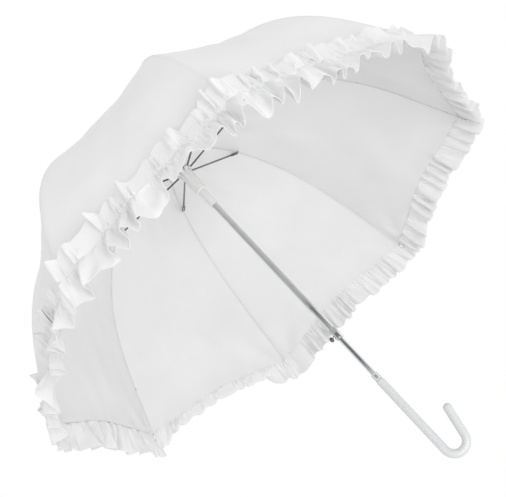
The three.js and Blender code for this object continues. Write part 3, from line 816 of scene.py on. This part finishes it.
def flag_material():
    """Grey studio flock, seen only in reflections: darker in the middle and paler to the sides, a gradient
    painted to shape the dark stripe that the tubes reflect.
    """
    made, tree, shader = new_material("flock_grey_studio")
    place = add_node(tree, "ShaderNodeTexCoord").outputs["Object"]
    pile = add_node(tree, "ShaderNodeTexNoise", {"Vector": place, "Scale": 60.0}).outputs["Fac"]
    across = add_node(tree, "ShaderNodeSeparateXYZ", {"Vector": place}).outputs["X"]
    aside = add_node(tree, "ShaderNodeMath", operation="ABSOLUTE")
    tree.links.new(across, aside.inputs[0])
    # Darker in the middle, paler to the sides: painted to shape the dark stripe reflected in the tubes.
    stripe_gradient = add_node(tree, "ShaderNodeMath", operation="MULTIPLY_ADD")
    tree.links.new(pile, stripe_gradient.inputs[0])
    stripe_gradient.inputs[1].default_value = 0.2
    tree.links.new(aside.outputs[0], stripe_gradient.inputs[2])
    span = {"From Min": 0.5, "From Max": 3.0}
    share = add_node(tree, "ShaderNodeMapRange", {"Value": stripe_gradient.outputs[0], **span}).outputs["Result"]
    tone = add_node(
        tree, "ShaderNodeMix",
        {"Factor": share, "A": rgba((0.16,) * 3), "B": rgba((0.32,) * 3)}, data_type="RGBA",
    )
    tree.links.new(tone.outputs["Result"], shader.inputs["Base Color"])
    shader.inputs["Roughness"].default_value = 1.0
    return made


MAKERS = {
    "flag": flag_material,
    "cloth": cloth_material,
    "thread": thread_material,
    "gloss": gloss_material,
    "matt": matt_material,
    "chrome": chrome_material,
    "enamel": enamel_material,
    "steel": steel_material,
    "floor": floor_material,
}
made_materials = {}


def finish(name):
    """The named material, made once."""
    if name not in made_materials:
        made_materials[name] = MAKERS[name]()
    return made_materials[name]


# ---- geometry nodes -----------------------------------------------------------------------


def new_tree(name, lengths):
    """A geometry node tree with a Geometry input and output, and a named length input for each size."""
    tree = bpy.data.node_groups.new(name, "GeometryNodeTree")
    tree.interface.new_socket("Path", in_out="INPUT", socket_type="NodeSocketGeometry")
    for label, default in lengths.items():
        made = tree.interface.new_socket(label, in_out="INPUT", socket_type="NodeSocketFloat")
        made.default_value = default
    tree.interface.new_socket("Finish", in_out="INPUT", socket_type="NodeSocketMaterial")
    tree.interface.new_socket("Geometry", in_out="OUTPUT", socket_type="NodeSocketGeometry")
    given = add_node(tree, "NodeGroupInput").outputs
    return tree, given


def end_tree(tree, geometry, given):
    """Ends a tree with Realize Instances, smooth shading and Set Material."""
    real = add_node(tree, "GeometryNodeRealizeInstances", {"Geometry": geometry}).outputs["Geometry"]
    shaded = add_node(tree, "GeometryNodeSetShadeSmooth", {"Geometry": real}).outputs["Geometry"]
    painted = add_node(tree, "GeometryNodeSetMaterial", {"Geometry": shaded, "Material": given["Finish"]})
    add_node(tree, "NodeGroupOutput", {"Geometry": painted.outputs["Geometry"]})
    return tree


def stitch_tree():
    """Stitches laid end to end along a path, each a short rounded bead of thread."""
    tree, given = new_tree("stitches", {"Pitch": 3 * MM, "Stitch": 2 * MM, "Thread": 0.16 * MM})
    path = add_node(tree, "GeometryNodeMeshToCurve", {"Mesh": given["Path"]}).outputs["Curve"]
    places = add_node(
        tree, "GeometryNodeCurveToPoints", {"Curve": path, "Length": given["Pitch"]}, mode="LENGTH"
    )
    bead = add_node(
        tree, "GeometryNodeMeshUVSphere", {"Segments": 6, "Rings": 5, "Radius": 1.0}
    ).outputs["Mesh"]
    half = add_node(tree, "ShaderNodeMath", {0: given["Stitch"], 1: 0.5}, operation="MULTIPLY").outputs[0]
    size = add_node(
        tree, "ShaderNodeCombineXYZ", {"X": given["Thread"], "Y": given["Thread"], "Z": half}
    ).outputs["Vector"]
    laid = add_node(
        tree,
        "GeometryNodeInstanceOnPoints",
        {
            "Points": places.outputs["Points"],
            "Instance": bead,
            "Rotation": places.outputs["Rotation"],
            "Scale": size,
        },
    )
    return end_tree(tree, laid.outputs["Instances"], given)


def wire_tree():
    """A round wire along a path, with closed ends."""
    tree, given = new_tree("wire", {"Radius": 0.5 * MM})
    path = add_node(tree, "GeometryNodeMeshToCurve", {"Mesh": given["Path"]}).outputs["Curve"]
    ring = add_node(
        tree, "GeometryNodeCurvePrimitiveCircle", {"Resolution": 12, "Radius": given["Radius"]}
    ).outputs["Curve"]
    swept_wire = add_node(
        tree, "GeometryNodeCurveToMesh", {"Curve": path, "Profile Curve": ring, "Fill Caps": True}
    )
    return end_tree(tree, swept_wire.outputs["Mesh"], given)


def rivet_tree():
    """A pin along each path, with a domed head on each end."""
    tree, given = new_tree("rivet", {"Pin": 0.6 * MM, "Head": 1.3 * MM, "Dome": 0.6 * MM})
    path = add_node(tree, "GeometryNodeMeshToCurve", {"Mesh": given["Path"]}).outputs["Curve"]
    ring = add_node(
        tree, "GeometryNodeCurvePrimitiveCircle", {"Resolution": 12, "Radius": given["Pin"]}
    ).outputs["Curve"]
    pin = add_node(tree, "GeometryNodeCurveToMesh", {"Curve": path, "Profile Curve": ring, "Fill Caps": True})
    ends = add_node(tree, "GeometryNodeCurveToPoints", {"Curve": path, "Count": 2}, mode="COUNT")
    dome = add_node(
        tree, "GeometryNodeMeshUVSphere", {"Segments": 16, "Rings": 8, "Radius": 1.0}
    ).outputs["Mesh"]
    size = add_node(
        tree, "ShaderNodeCombineXYZ", {"X": given["Head"], "Y": given["Head"], "Z": given["Dome"]}
    ).outputs["Vector"]
    heads = add_node(
        tree,
        "GeometryNodeInstanceOnPoints",
        {
            "Points": ends.outputs["Points"],
            "Instance": dome,
            "Rotation": ends.outputs["Rotation"],
            "Scale": size,
        },
    )
    both = add_node(tree, "GeometryNodeJoinGeometry")
    tree.links.new(pin.outputs["Mesh"], both.inputs["Geometry"])
    tree.links.new(heads.outputs["Instances"], both.inputs["Geometry"])
    return end_tree(tree, both.outputs["Geometry"], given)


TREES = {"stitches": stitch_tree, "wire": wire_tree, "rivet": rivet_tree}


def grown(name, kind, paths, material, **values):
    """A plain mesh grown by a node tree along paths, each a list of points."""
    tree = bpy.data.node_groups.get(kind) or TREES[kind]()
    points, edges = [], []
    for path in paths:
        first = len(points)
        points.extend(tuple(p) for p in path)
        edges.extend((i, i + 1) for i in range(first, first + len(path) - 1))
    mesh = bpy.data.meshes.new(name)
    mesh.from_pydata(points, edges, [])
    made = link(name, mesh)
    modifier = made.modifiers.new(kind, "NODES")
    modifier.node_group = tree
    inputs = {item.name: item.identifier for item in tree.interface.items_tree if item.in_out == "INPUT"}
    modifier[inputs["Finish"]] = material
    for label, value in values.items():
        modifier[inputs[label]] = value
    apply_modifiers(made)
    return made


# ---- how the cloth rides on the ribs ------------------------------------------------------


def gather_with(made, number, share):
    """Rides a cloth piece on its rib, with its own copy of the mesh."""
    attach(made, f"rib_{number}")
    anchor = tuple(rib_point(number, share))
    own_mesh(made)


# ---- the pieces ---------------------------------------------------------------------------

COLUMNS = 26
ROW_STEP = 9 * MM
FRILL_ROWS = 22
HEADER_ROWS = 9
FRILL_STEPS_PER_GATHER = 26


def gore_turns(radius):
    """Angles from the rib of a row's points: close together over the seam, then even to the edge."""
    half_seam = sizes().seam_width / 2
    seam = np.array([0, 0.45, 0.9, 1.15, 1.5]) * half_seam / radius
    rest = np.linspace(seam[-1], HALF_PITCH, COLUMNS // 2)[1:]
    side = np.concatenate([seam, rest])
    return np.concatenate([-side[:0:-1], side])


def band_edges():
    """Shares of the hem's distance where one band of cloth ends and the next starts."""
    bands = sizes().bands
    return [1 - (1 - i / bands) ** 1.35 for i in range(bands + 1)]


def build_gore(number):
    s = sizes()
    edges = band_edges()
    start = (s.crown_opening - CROWN_RING) / BOW_LENGTH
    theta_rib = (number - 1) * PITCH
    for band in range(s.bands):
        low, high = edges[band], edges[band + 1]
        count = max(3, int((high - low) * BOW_LENGTH / ROW_STEP) + 1)
        parts = np.linspace(low, high, count + 1)
        if band == s.bands - 1:
            hem = 1 - np.array([1.25, 1.1, 0.9, 0.5]) * s.hem_width / BOW_LENGTH
            parts = np.concatenate([parts[parts < hem[0] - 0.004], hem, [1.0]])
        radius, _, _ = rib_at(start + parts * (1 - start))
        turns = np.stack([gore_turns(r) for r in radius])
        theta = theta_rib + turns
        share = start + parts[:, None] * (hem_share(theta) - start)
        on_seam = 1 - smooth((np.abs(turns * radius[:, None]) / (s.seam_width / 2) - 0.9) / 0.25)
        to_hem = (hem_share(theta) - share) * BOW_LENGTH
        on_hem = 1 - smooth((to_hem / s.hem_width - 0.9) / 0.2)
        extra = s.cloth * 0.9 * np.maximum(on_seam, on_hem)
        normals = surface_normals(cloth, share, theta)
        points = cloth(share, theta) + normals * extra[..., None]
        uv = np.stack([turns * radius[:, None], share * BOW_LENGTH], -1)
        made = sheet_mesh(f"panel_{number}_{band + 1}", points, normals, s.cloth + extra, uv, finish("cloth"))
        gather_with(made, number, start + (low + high) / 2 * (1 - start))
        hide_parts(f"canopy_gore_{number}")


def build_frill(number):
    s = sizes()
    columns = int(s.gathers / RIB_COUNT * FRILL_STEPS_PER_GATHER)
    turns = np.linspace(-HALF_PITCH, HALF_PITCH, columns + 1)
    header = s.frill_header / s.frill_width
    runs = np.concatenate([
        -header * np.linspace(1, 0, HEADER_ROWS + 1)[:-1],
        [-0.015, 0.0, 0.015],
        np.linspace(0, 1, FRILL_ROWS + 1)[1:],
    ])
    run, turn = np.meshgrid(runs, turns, indexing="ij")
    theta = (number - 1) * PITCH + turn
    points = frill(run, theta)
    normals = surface_normals(frill, run, theta)
    to_edge = np.where(run > 0, 1 - run, header + run)
    rolled = s.cloth * (1 + 0.25 * (1 - smooth((to_edge - 0.025) / 0.02)))
    uv = np.stack([turn * RIM_RADIUS * 1.5, run * s.frill_width], -1)
    made = sheet_mesh(f"ruffle_{number}", points, normals, rolled, uv, finish("cloth"))
    gather_with(made, number, float(hem_share(0.0)))
    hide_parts(f"frill_{number}")


def build_seam_stitches(number):
    """Two rows along the felled seam over the rib, and the twin rows on the hem that hold the frill."""
    s = sizes()
    shares = np.linspace(0.03, float(hem_share(0.0)) - 0.004, 160)
    radius, _, _ = rib_at(shares)
    paths = []
    for side in (-1, 1):
        theta = (number - 1) * PITCH + side * 0.72 * s.seam_width / 2 / radius
        normals = surface_normals(cloth, shares, theta)
        paths.append(cloth(shares, theta) + normals * (s.cloth * 0.9 + s.thread * 0.4))
        paths.append(cloth(shares, theta) - normals * (s.cloth + s.thread * 0.4))
    made = grown(
        f"seam_stitches_{number}", "stitches", paths, finish("thread"),
        Pitch=s.stitch_pitch, Stitch=s.stitch_length, Thread=s.thread,
    )
    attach(made, f"rib_{number}")


def build_hem_stitches(number):
    s = sizes()
    turns = np.linspace(-HALF_PITCH, HALF_PITCH, 180)
    theta = (number - 1) * PITCH + turns
    paths = []
    for inset in (0.2, 0.82):
        share = hem_share(theta) - inset * s.hem_width / BOW_LENGTH
        normals = surface_normals(cloth, share, theta)
        paths.append(cloth(share, theta) + normals * (s.cloth * 0.9 + s.thread * 0.4))
        paths.append(cloth(share, theta) - normals * (s.cloth + s.thread * 0.4))
    made = grown(
        f"hem_stitches_{number}", "stitches", paths, finish("thread"),
        Pitch=s.stitch_pitch, Stitch=s.stitch_length, Thread=s.thread,
    )
    edges = band_edges()
    gather_with(made, number, (edges[-2] + edges[-1]) / 2)


class PARASOL_OT_canopy(bpy.types.Operator):
    """Build the eight panels of the canopy as one continuous surface"""

    bl_idname = "parasol.canopy"
    bl_label = "Canopy"

    def execute(self, context):
        for number in rib_numbers():
            build_gore(number)
        return {"FINISHED"}


class PARASOL_OT_frill(bpy.types.Operator):
    """Build the gathered frill round the rim"""

    bl_idname = "parasol.frill"
    bl_label = "Frill"

    def execute(self, context):
        for number in rib_numbers():
            build_frill(number)
        return {"FINISHED"}


class PARASOL_OT_sewing(bpy.types.Operator):
    """Sew the seams and the hem, and tie the cloth to the ribs"""

    bl_idname = "parasol.sewing"
    bl_label = "Sewing"

    tie_shares = (0.22, 0.5, 0.72, 0.88)

    def execute(self, context):
        for number in rib_numbers():
            build_seam_stitches(number)
            build_hem_stitches(number)
            self.build_ties(number)
        return {"FINISHED"}

    def build_ties(self, number):
        """Three turns of thread round the rib, at each place where the cloth is tied down."""
        angle = rib_angle(number)
        around = Vector((-math.sin(angle), math.cos(angle), 0))
        paths = []
        for share in self.tie_shares:
            slope = float(rib_at(share)[2])
            out = math.sin(slope)
            normal = Vector((out * math.cos(angle), out * math.sin(angle), math.cos(slope)))
            ahead = around.cross(normal)
            middle = rib_point(number, share)
            turns = np.linspace(0, 6 * math.pi, 49)
            size = RIB_HALF + 0.3 * MM
            paths.append([
                middle + ahead * (t / (6 * math.pi) - 0.5) * 2.4 * MM
                + around * size * 1.1 * math.cos(t) + normal * (size * math.sin(t) + 0.1 * MM)
                for t in turns
            ])
        made = grown(f"rib_ties_{number}", "wire", paths, finish("thread"), Radius=0.22 * MM)
        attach(made, f"rib_{number}")


class PARASOL_OT_ribs(bpy.types.Operator):
    """Build the eight rib wires with their eyes and metal ends"""

    bl_idname = "parasol.ribs"
    bl_label = "Ribs"

    tip_length = 16 * MM
    eye_radius = 1.3 * MM
    eye_wire = 0.55 * MM

    def execute(self, context):
        for number in rib_numbers():
            self.build_rib(number)
            self.build_tip(number)
        return {"FINISHED"}

    def build_rib(self, number):
        angle = rib_angle(number)
        first = self.eye_radius * 0.9 / BOW_LENGTH
        last = 1 - (self.tip_length + 0.3 * MM) / BOW_LENGTH
        line = [rib_point(number, share) for share in np.linspace(first, last, 120)]
        pivot = rib_point(number, 0)
        outward = Vector((math.cos(angle), math.sin(angle), 0))
        up = Vector((0, 0, 1))
        eye = [
            pivot + outward * self.eye_radius * math.cos(t) + up * self.eye_radius * math.sin(t)
            for t in np.linspace(0, 2 * math.pi * 0.98, 25)
        ]
        made = grown(f"rib_wire_{number}", "wire", [line], finish("enamel"), Radius=RIB_HALF)
        loop = grown(f"rib_eye_{number}", "wire", [eye], finish("enamel"), Radius=self.eye_wire)
        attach(loop, f"rib_{number}")
        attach(made, f"rib_{number}")
        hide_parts(f"rib_{number}")

    def build_tip(self, number):
        """A turned metal end: a socket, a neck and a small ball."""
        steps = np.array([0, 0.02, 0.04, 0.5, 0.54, 0.58, 0.66, 0.72, 0.78, 0.84, 0.9, 0.95, 0.985, 1.0])
        radii = np.array([0, 1.05, 1.1, 1.1, 0.95, 0.75, 0.8, 1.1, 1.32, 1.4, 1.3, 1.0, 0.55, 0.0]) * MM
        share = 1 - self.tip_length / BOW_LENGTH
        root, end = rib_point(number, share), rib_point(number, 1.0)
        line = [root.lerp(end, float(step)) for step in steps]
        made = swept(f"rib_end_{number}", line, radii, finish("chrome"), sides=24)
        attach(made, f"rib_{number}")
        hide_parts(f"rib_tip_{number}")


class PARASOL_OT_stretchers(bpy.types.Operator):
    """Build the eight stretchers with their forks and rivets"""

    bl_idname = "parasol.stretchers"
    bl_label = "Stretchers"

    fork_width = 5.2 * MM

    def execute(self, context):
        for number in rib_numbers():
            arm = softened(f"stretcher_arm_{number}", f"stretcher_{number}", finish("steel"), 0.45, 3)
            self.build_rivet(number)
        return {"FINISHED"}

    def build_rivet(self, number):
        points = node_points(f"stretcher_{number}")
        far = max(points, key=lambda p: math.hypot(p[0], p[1]))
        radius = math.hypot(far[0], far[1]) - 1.0 * MM
        share = float(np.interp(radius, rib_at(np.linspace(0, 1, 400))[0], np.linspace(0, 1, 400)))
        middle = rib_point(number, share)
        angle = rib_angle(number)
        around = Vector((-math.sin(angle), math.cos(angle), 0)) * self.fork_width / 2
        made = grown(
            f"fork_rivet_{number}", "rivet", [[middle - around, middle + around]], finish("chrome"),
            Pin=0.7 * MM, Head=1.45 * MM, Dome=0.6 * MM,
        )
        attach(made, f"rib_{number}")


class PARASOL_OT_runner(bpy.types.Operator):
    """Build the runner, its tie wire and the top catch"""

    bl_idname = "parasol.runner"
    bl_label = "Runner"

    def execute(self, context):
        softened("runner_body", "runner", finish("matt"), 0.35, 3)
        tie_ring("runner_tie_wire", "runner_wire", RUNNER_RING, "runner")
        softened("catch_blade", "top_catch", finish("steel"), 0.2)
        softened("catch_leaf", "catch_spring", finish("steel"), 0.05, 1)
        return {"FINISHED"}


def tie_ring(name, node, on_ring, body):
    """A closed ring of wire through the eyes, with its twisted end."""
    radius = math.hypot(on_ring.x, on_ring.y)
    ring = [
        Vector((radius * math.cos(t), radius * math.sin(t), on_ring.z))
        for t in np.linspace(0.02, 2 * math.pi - 0.02, 97)
    ]
    twist = [
        Vector((
            radius + (t / 12) * 2.6 * MM,
            0.55 * MM * math.cos(t * 1.6),
            on_ring.z + 0.55 * MM * math.sin(t * 1.6),
        ))
        for t in np.linspace(0, 12, 40)
    ]
    made = grown(name, "wire", [ring, twist], finish("steel"), Radius=0.5 * MM)
    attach(made, body)
    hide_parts(node)


class PARASOL_OT_crown(bpy.types.Operator):
    """Build the slotted crown, its tie wire, the cap and the ferrule"""

    bl_idname = "parasol.crown"
    bl_label = "Crown"

    def execute(self, context):
        softened("crown_hub", "crown_notch", finish("matt"), 0.3, 3)
        softened("crown_cover", "crown_cap", finish("matt"), 0.3, 3)
        softened("ferrule_spike", "ferrule", finish("gloss"), 0.5, 3)
        tie_ring("crown_tie_wire", "crown_wire", CROWN, "upper_shaft")
        return {"FINISHED"}


class PARASOL_OT_shaft(bpy.types.Operator):
    """Build the two tubes, the lock collar and its button"""

    bl_idname = "parasol.shaft"
    bl_label = "Shaft"

    def execute(self, context):
        for name, node, look, edge in (
            ("tube_lower", "lower_tube", "chrome", 0.15),
            ("tube_upper", "upper_tube", "chrome", 0.15),
            ("collar_lock", "lock_collar", "chrome", 0.25),
            # The button is a chrome dome given the dark steel finish: its darkness is painted reflection.
            ("button_lock", "lock_button", "steel", 0.5),
        ):
            softened(name, node, finish(look), edge, 3)
        return {"FINISHED"}


class PARASOL_OT_handle(bpy.types.Operator):
    """Build the crook handle and its collar"""

    bl_idname = "parasol.handle"
    bl_label = "Handle"

    crook_radius = 16.5 * MM
    crook_turn = math.radians(168)
    crook_return = 42 * MM
    top_rounding = 1.2 * MM

    def execute(self, context):
        softened("handle_ring", "handle_collar", finish("gloss"), 0.35, 3)
        low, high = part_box("handle")
        grip = (high.y - low.y) / 2
        bottom = low.z + self.crook_radius + grip
        made = swept("handle_crook", *self.outline(bottom, high.z, grip), finish("gloss"), sides=64)
        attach(made, "grip_and_lower_tube")
        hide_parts("handle")
        return {"FINISHED"}

    def outline(self, bottom, top, grip):
        """The centreline from the collar round the bend to the end, and its radii."""
        turn = self.crook_turn
        path, radii = [], []
        for t in np.linspace(0, math.pi / 2, 5):
            path.append((0, 0, top - self.top_rounding * (1 - math.cos(t))))
            radii.append(grip - self.top_rounding * (1 - math.sin(t)))
        for z in np.linspace(top - 2 * self.top_rounding, bottom, 24):
            path.append((0, 0, z))
            radii.append(grip)
        for a in np.linspace(0, turn, 60)[1:]:
            path.append((
                self.crook_radius * (1 - math.cos(a)),
                0,
                bottom - self.crook_radius * math.sin(a),
            ))
            radii.append(grip)
        end = np.array(path[-1])
        along = np.array([math.sin(turn), 0, -math.cos(turn)])
        for step in np.linspace(0, self.crook_return, 14)[1:]:
            path.append(tuple(end + along * step))
            radii.append(grip)
        last = np.array(path[-1])
        for t in np.linspace(0, math.pi / 2, 14)[1:]:
            path.append(tuple(last + along * grip * math.sin(t)))
            radii.append(max(grip * math.cos(t), 1e-5))
        return path, radii


class PARASOL_OT_stage(bpy.types.Operator):
    """Set the floor, the soft light and the camera"""

    bl_idname = "parasol.stage"
    bl_label = "Stage"

    elevation = math.radians(25.73)
    roll = math.radians(43.13)
    distance = 1.4135
    aim = Vector((-0.0034, 0, 0.3396))
    lens = 66.23
    floor_below = 1.5

    def execute(self, context):
        self.build_camera(context.scene)
        self.build_floor()
        self.build_lights(context.scene)
        context.scene.view_settings.view_transform = "Standard"
        return {"FINISHED"}

    def build_camera(self, scene):
        """A camera below the rim, looking up into the canopy, rolled so that the shaft leans."""
        data = bpy.data.cameras.new("camera")
        data.lens = self.lens
        data.sensor_width = 36
        data.clip_end = 50
        camera = bpy.data.objects.new("camera", data)
        scene.collection.objects.link(camera)
        sight = Vector((0, math.cos(self.elevation), math.sin(self.elevation)))
        camera.location = self.aim - sight * self.distance
        level = sight.to_track_quat("-Z", "Y").to_matrix().to_4x4()
        turned = level @ Matrix.Rotation(-self.roll, 4, "Z")
        camera.rotation_euler = turned.to_euler()
        scene.camera = camera

    def build_floor(self):
        low = CAD_BOX[0][2] - self.floor_below
        size = 40.0
        count = 24
        step = size / count
        points, faces = [], []
        for i in range(count + 1):
            for j in range(count + 1):
                points.append((i * step - size / 2, j * step - size / 2, low))
        for i in range(count):
            for j in range(count):
                a = i * (count + 1) + j
                faces.append((a, a + count + 1, a + count + 2, a + 1))
        mesh = bpy.data.meshes.new("floor")
        mesh.from_pydata(points, [], faces)
        mesh.materials.append(finish("floor"))
        link("floor", mesh)

    def build_lights(self, scene):
        world = bpy.data.worlds.new("studio")
        world.use_nodes = True
        scene.world = world
        background = world.node_tree.nodes["Background"]
        background.inputs["Color"].default_value = (1, 1, 1, 1)
        background.inputs["Strength"].default_value = 1.0
        for name, place, power, size in (
            ("key", (-2.0, -0.6, 2.4), 1, 1.6),
            ("fill", (0.5, -1.6, -1.2), 32, 2.0),
        ):
            data = bpy.data.lights.new(name, "AREA")
            data.energy = power
            data.size = size
            light = bpy.data.objects.new(name, data)
            light.location = place
            light.visible_camera = False
            aim = Vector((0, 0, 0.4)) - Vector(place)
            light.rotation_euler = aim.to_track_quat("-Z", "Y").to_euler()
            scene.collection.objects.link(light)
        self.build_flag()

    def build_flag(self):
        """A wide grey card in front, seen only in reflections: it gives the bright tubes a darker stripe."""
        points = [(-5, 0, -0.9), (5, 0, -0.9), (5, 0, 0.9), (-5, 0, 0.9)]
        mesh = bpy.data.meshes.new("flag")
        mesh.from_pydata(points, [], [(0, 1, 2, 3)])
        mesh.materials.append(finish("flag"))
        flag = link("flag", mesh)
        flag.location = (0, -2.6, 1.3)
        flag.visible_camera = False
        flag.visible_diffuse = False
        flag.visible_shadow = False


class PARASOL_PT_panel(bpy.types.Panel):
    bl_idname = "PARASOL_PT_panel"
    bl_label = "Frilled Parasol"
    bl_space_type = "VIEW_3D"
    bl_region_type = "UI"
    bl_category = "Parasol"

    def draw(self, context):
        for group in (context.scene.parasol_sizes, context.scene.parasol_colours):
            for name in group.bl_rna.properties.keys():
                if name not in {"rna_type", "name"}:
                    self.layout.prop(group, name)
        for operator in OPERATORS:
            self.layout.operator(operator.bl_idname)


OPERATORS = (
    PARASOL_OT_stage,
    PARASOL_OT_canopy,
    PARASOL_OT_frill,
    PARASOL_OT_sewing,
    PARASOL_OT_ribs,
    PARASOL_OT_stretchers,
    PARASOL_OT_runner,
    PARASOL_OT_crown,
    PARASOL_OT_shaft,
    PARASOL_OT_handle,
)
CLASSES = (ParasolSizes, ParasolColours, *OPERATORS, PARASOL_PT_panel)


def register():
    for cls in CLASSES:
        bpy.utils.register_class(cls)
    bpy.types.Scene.parasol_sizes = PointerProperty(type=ParasolSizes)
    bpy.types.Scene.parasol_colours = PointerProperty(type=ParasolColours)


def unregister():
    del bpy.types.Scene.parasol_colours
    del bpy.types.Scene.parasol_sizes
    for cls in reversed(CLASSES):
        bpy.utils.unregister_class(cls)


def main():
    register()
    bpy.ops.parasol.stage()
    bpy.ops.parasol.canopy()
    bpy.ops.parasol.frill()
    bpy.ops.parasol.sewing()
    bpy.ops.parasol.ribs()
    bpy.ops.parasol.stretchers()
    bpy.ops.parasol.runner()
    bpy.ops.parasol.crown()
    bpy.ops.parasol.shaft()
    bpy.ops.parasol.handle()


if __name__ == "__main__":
    main()
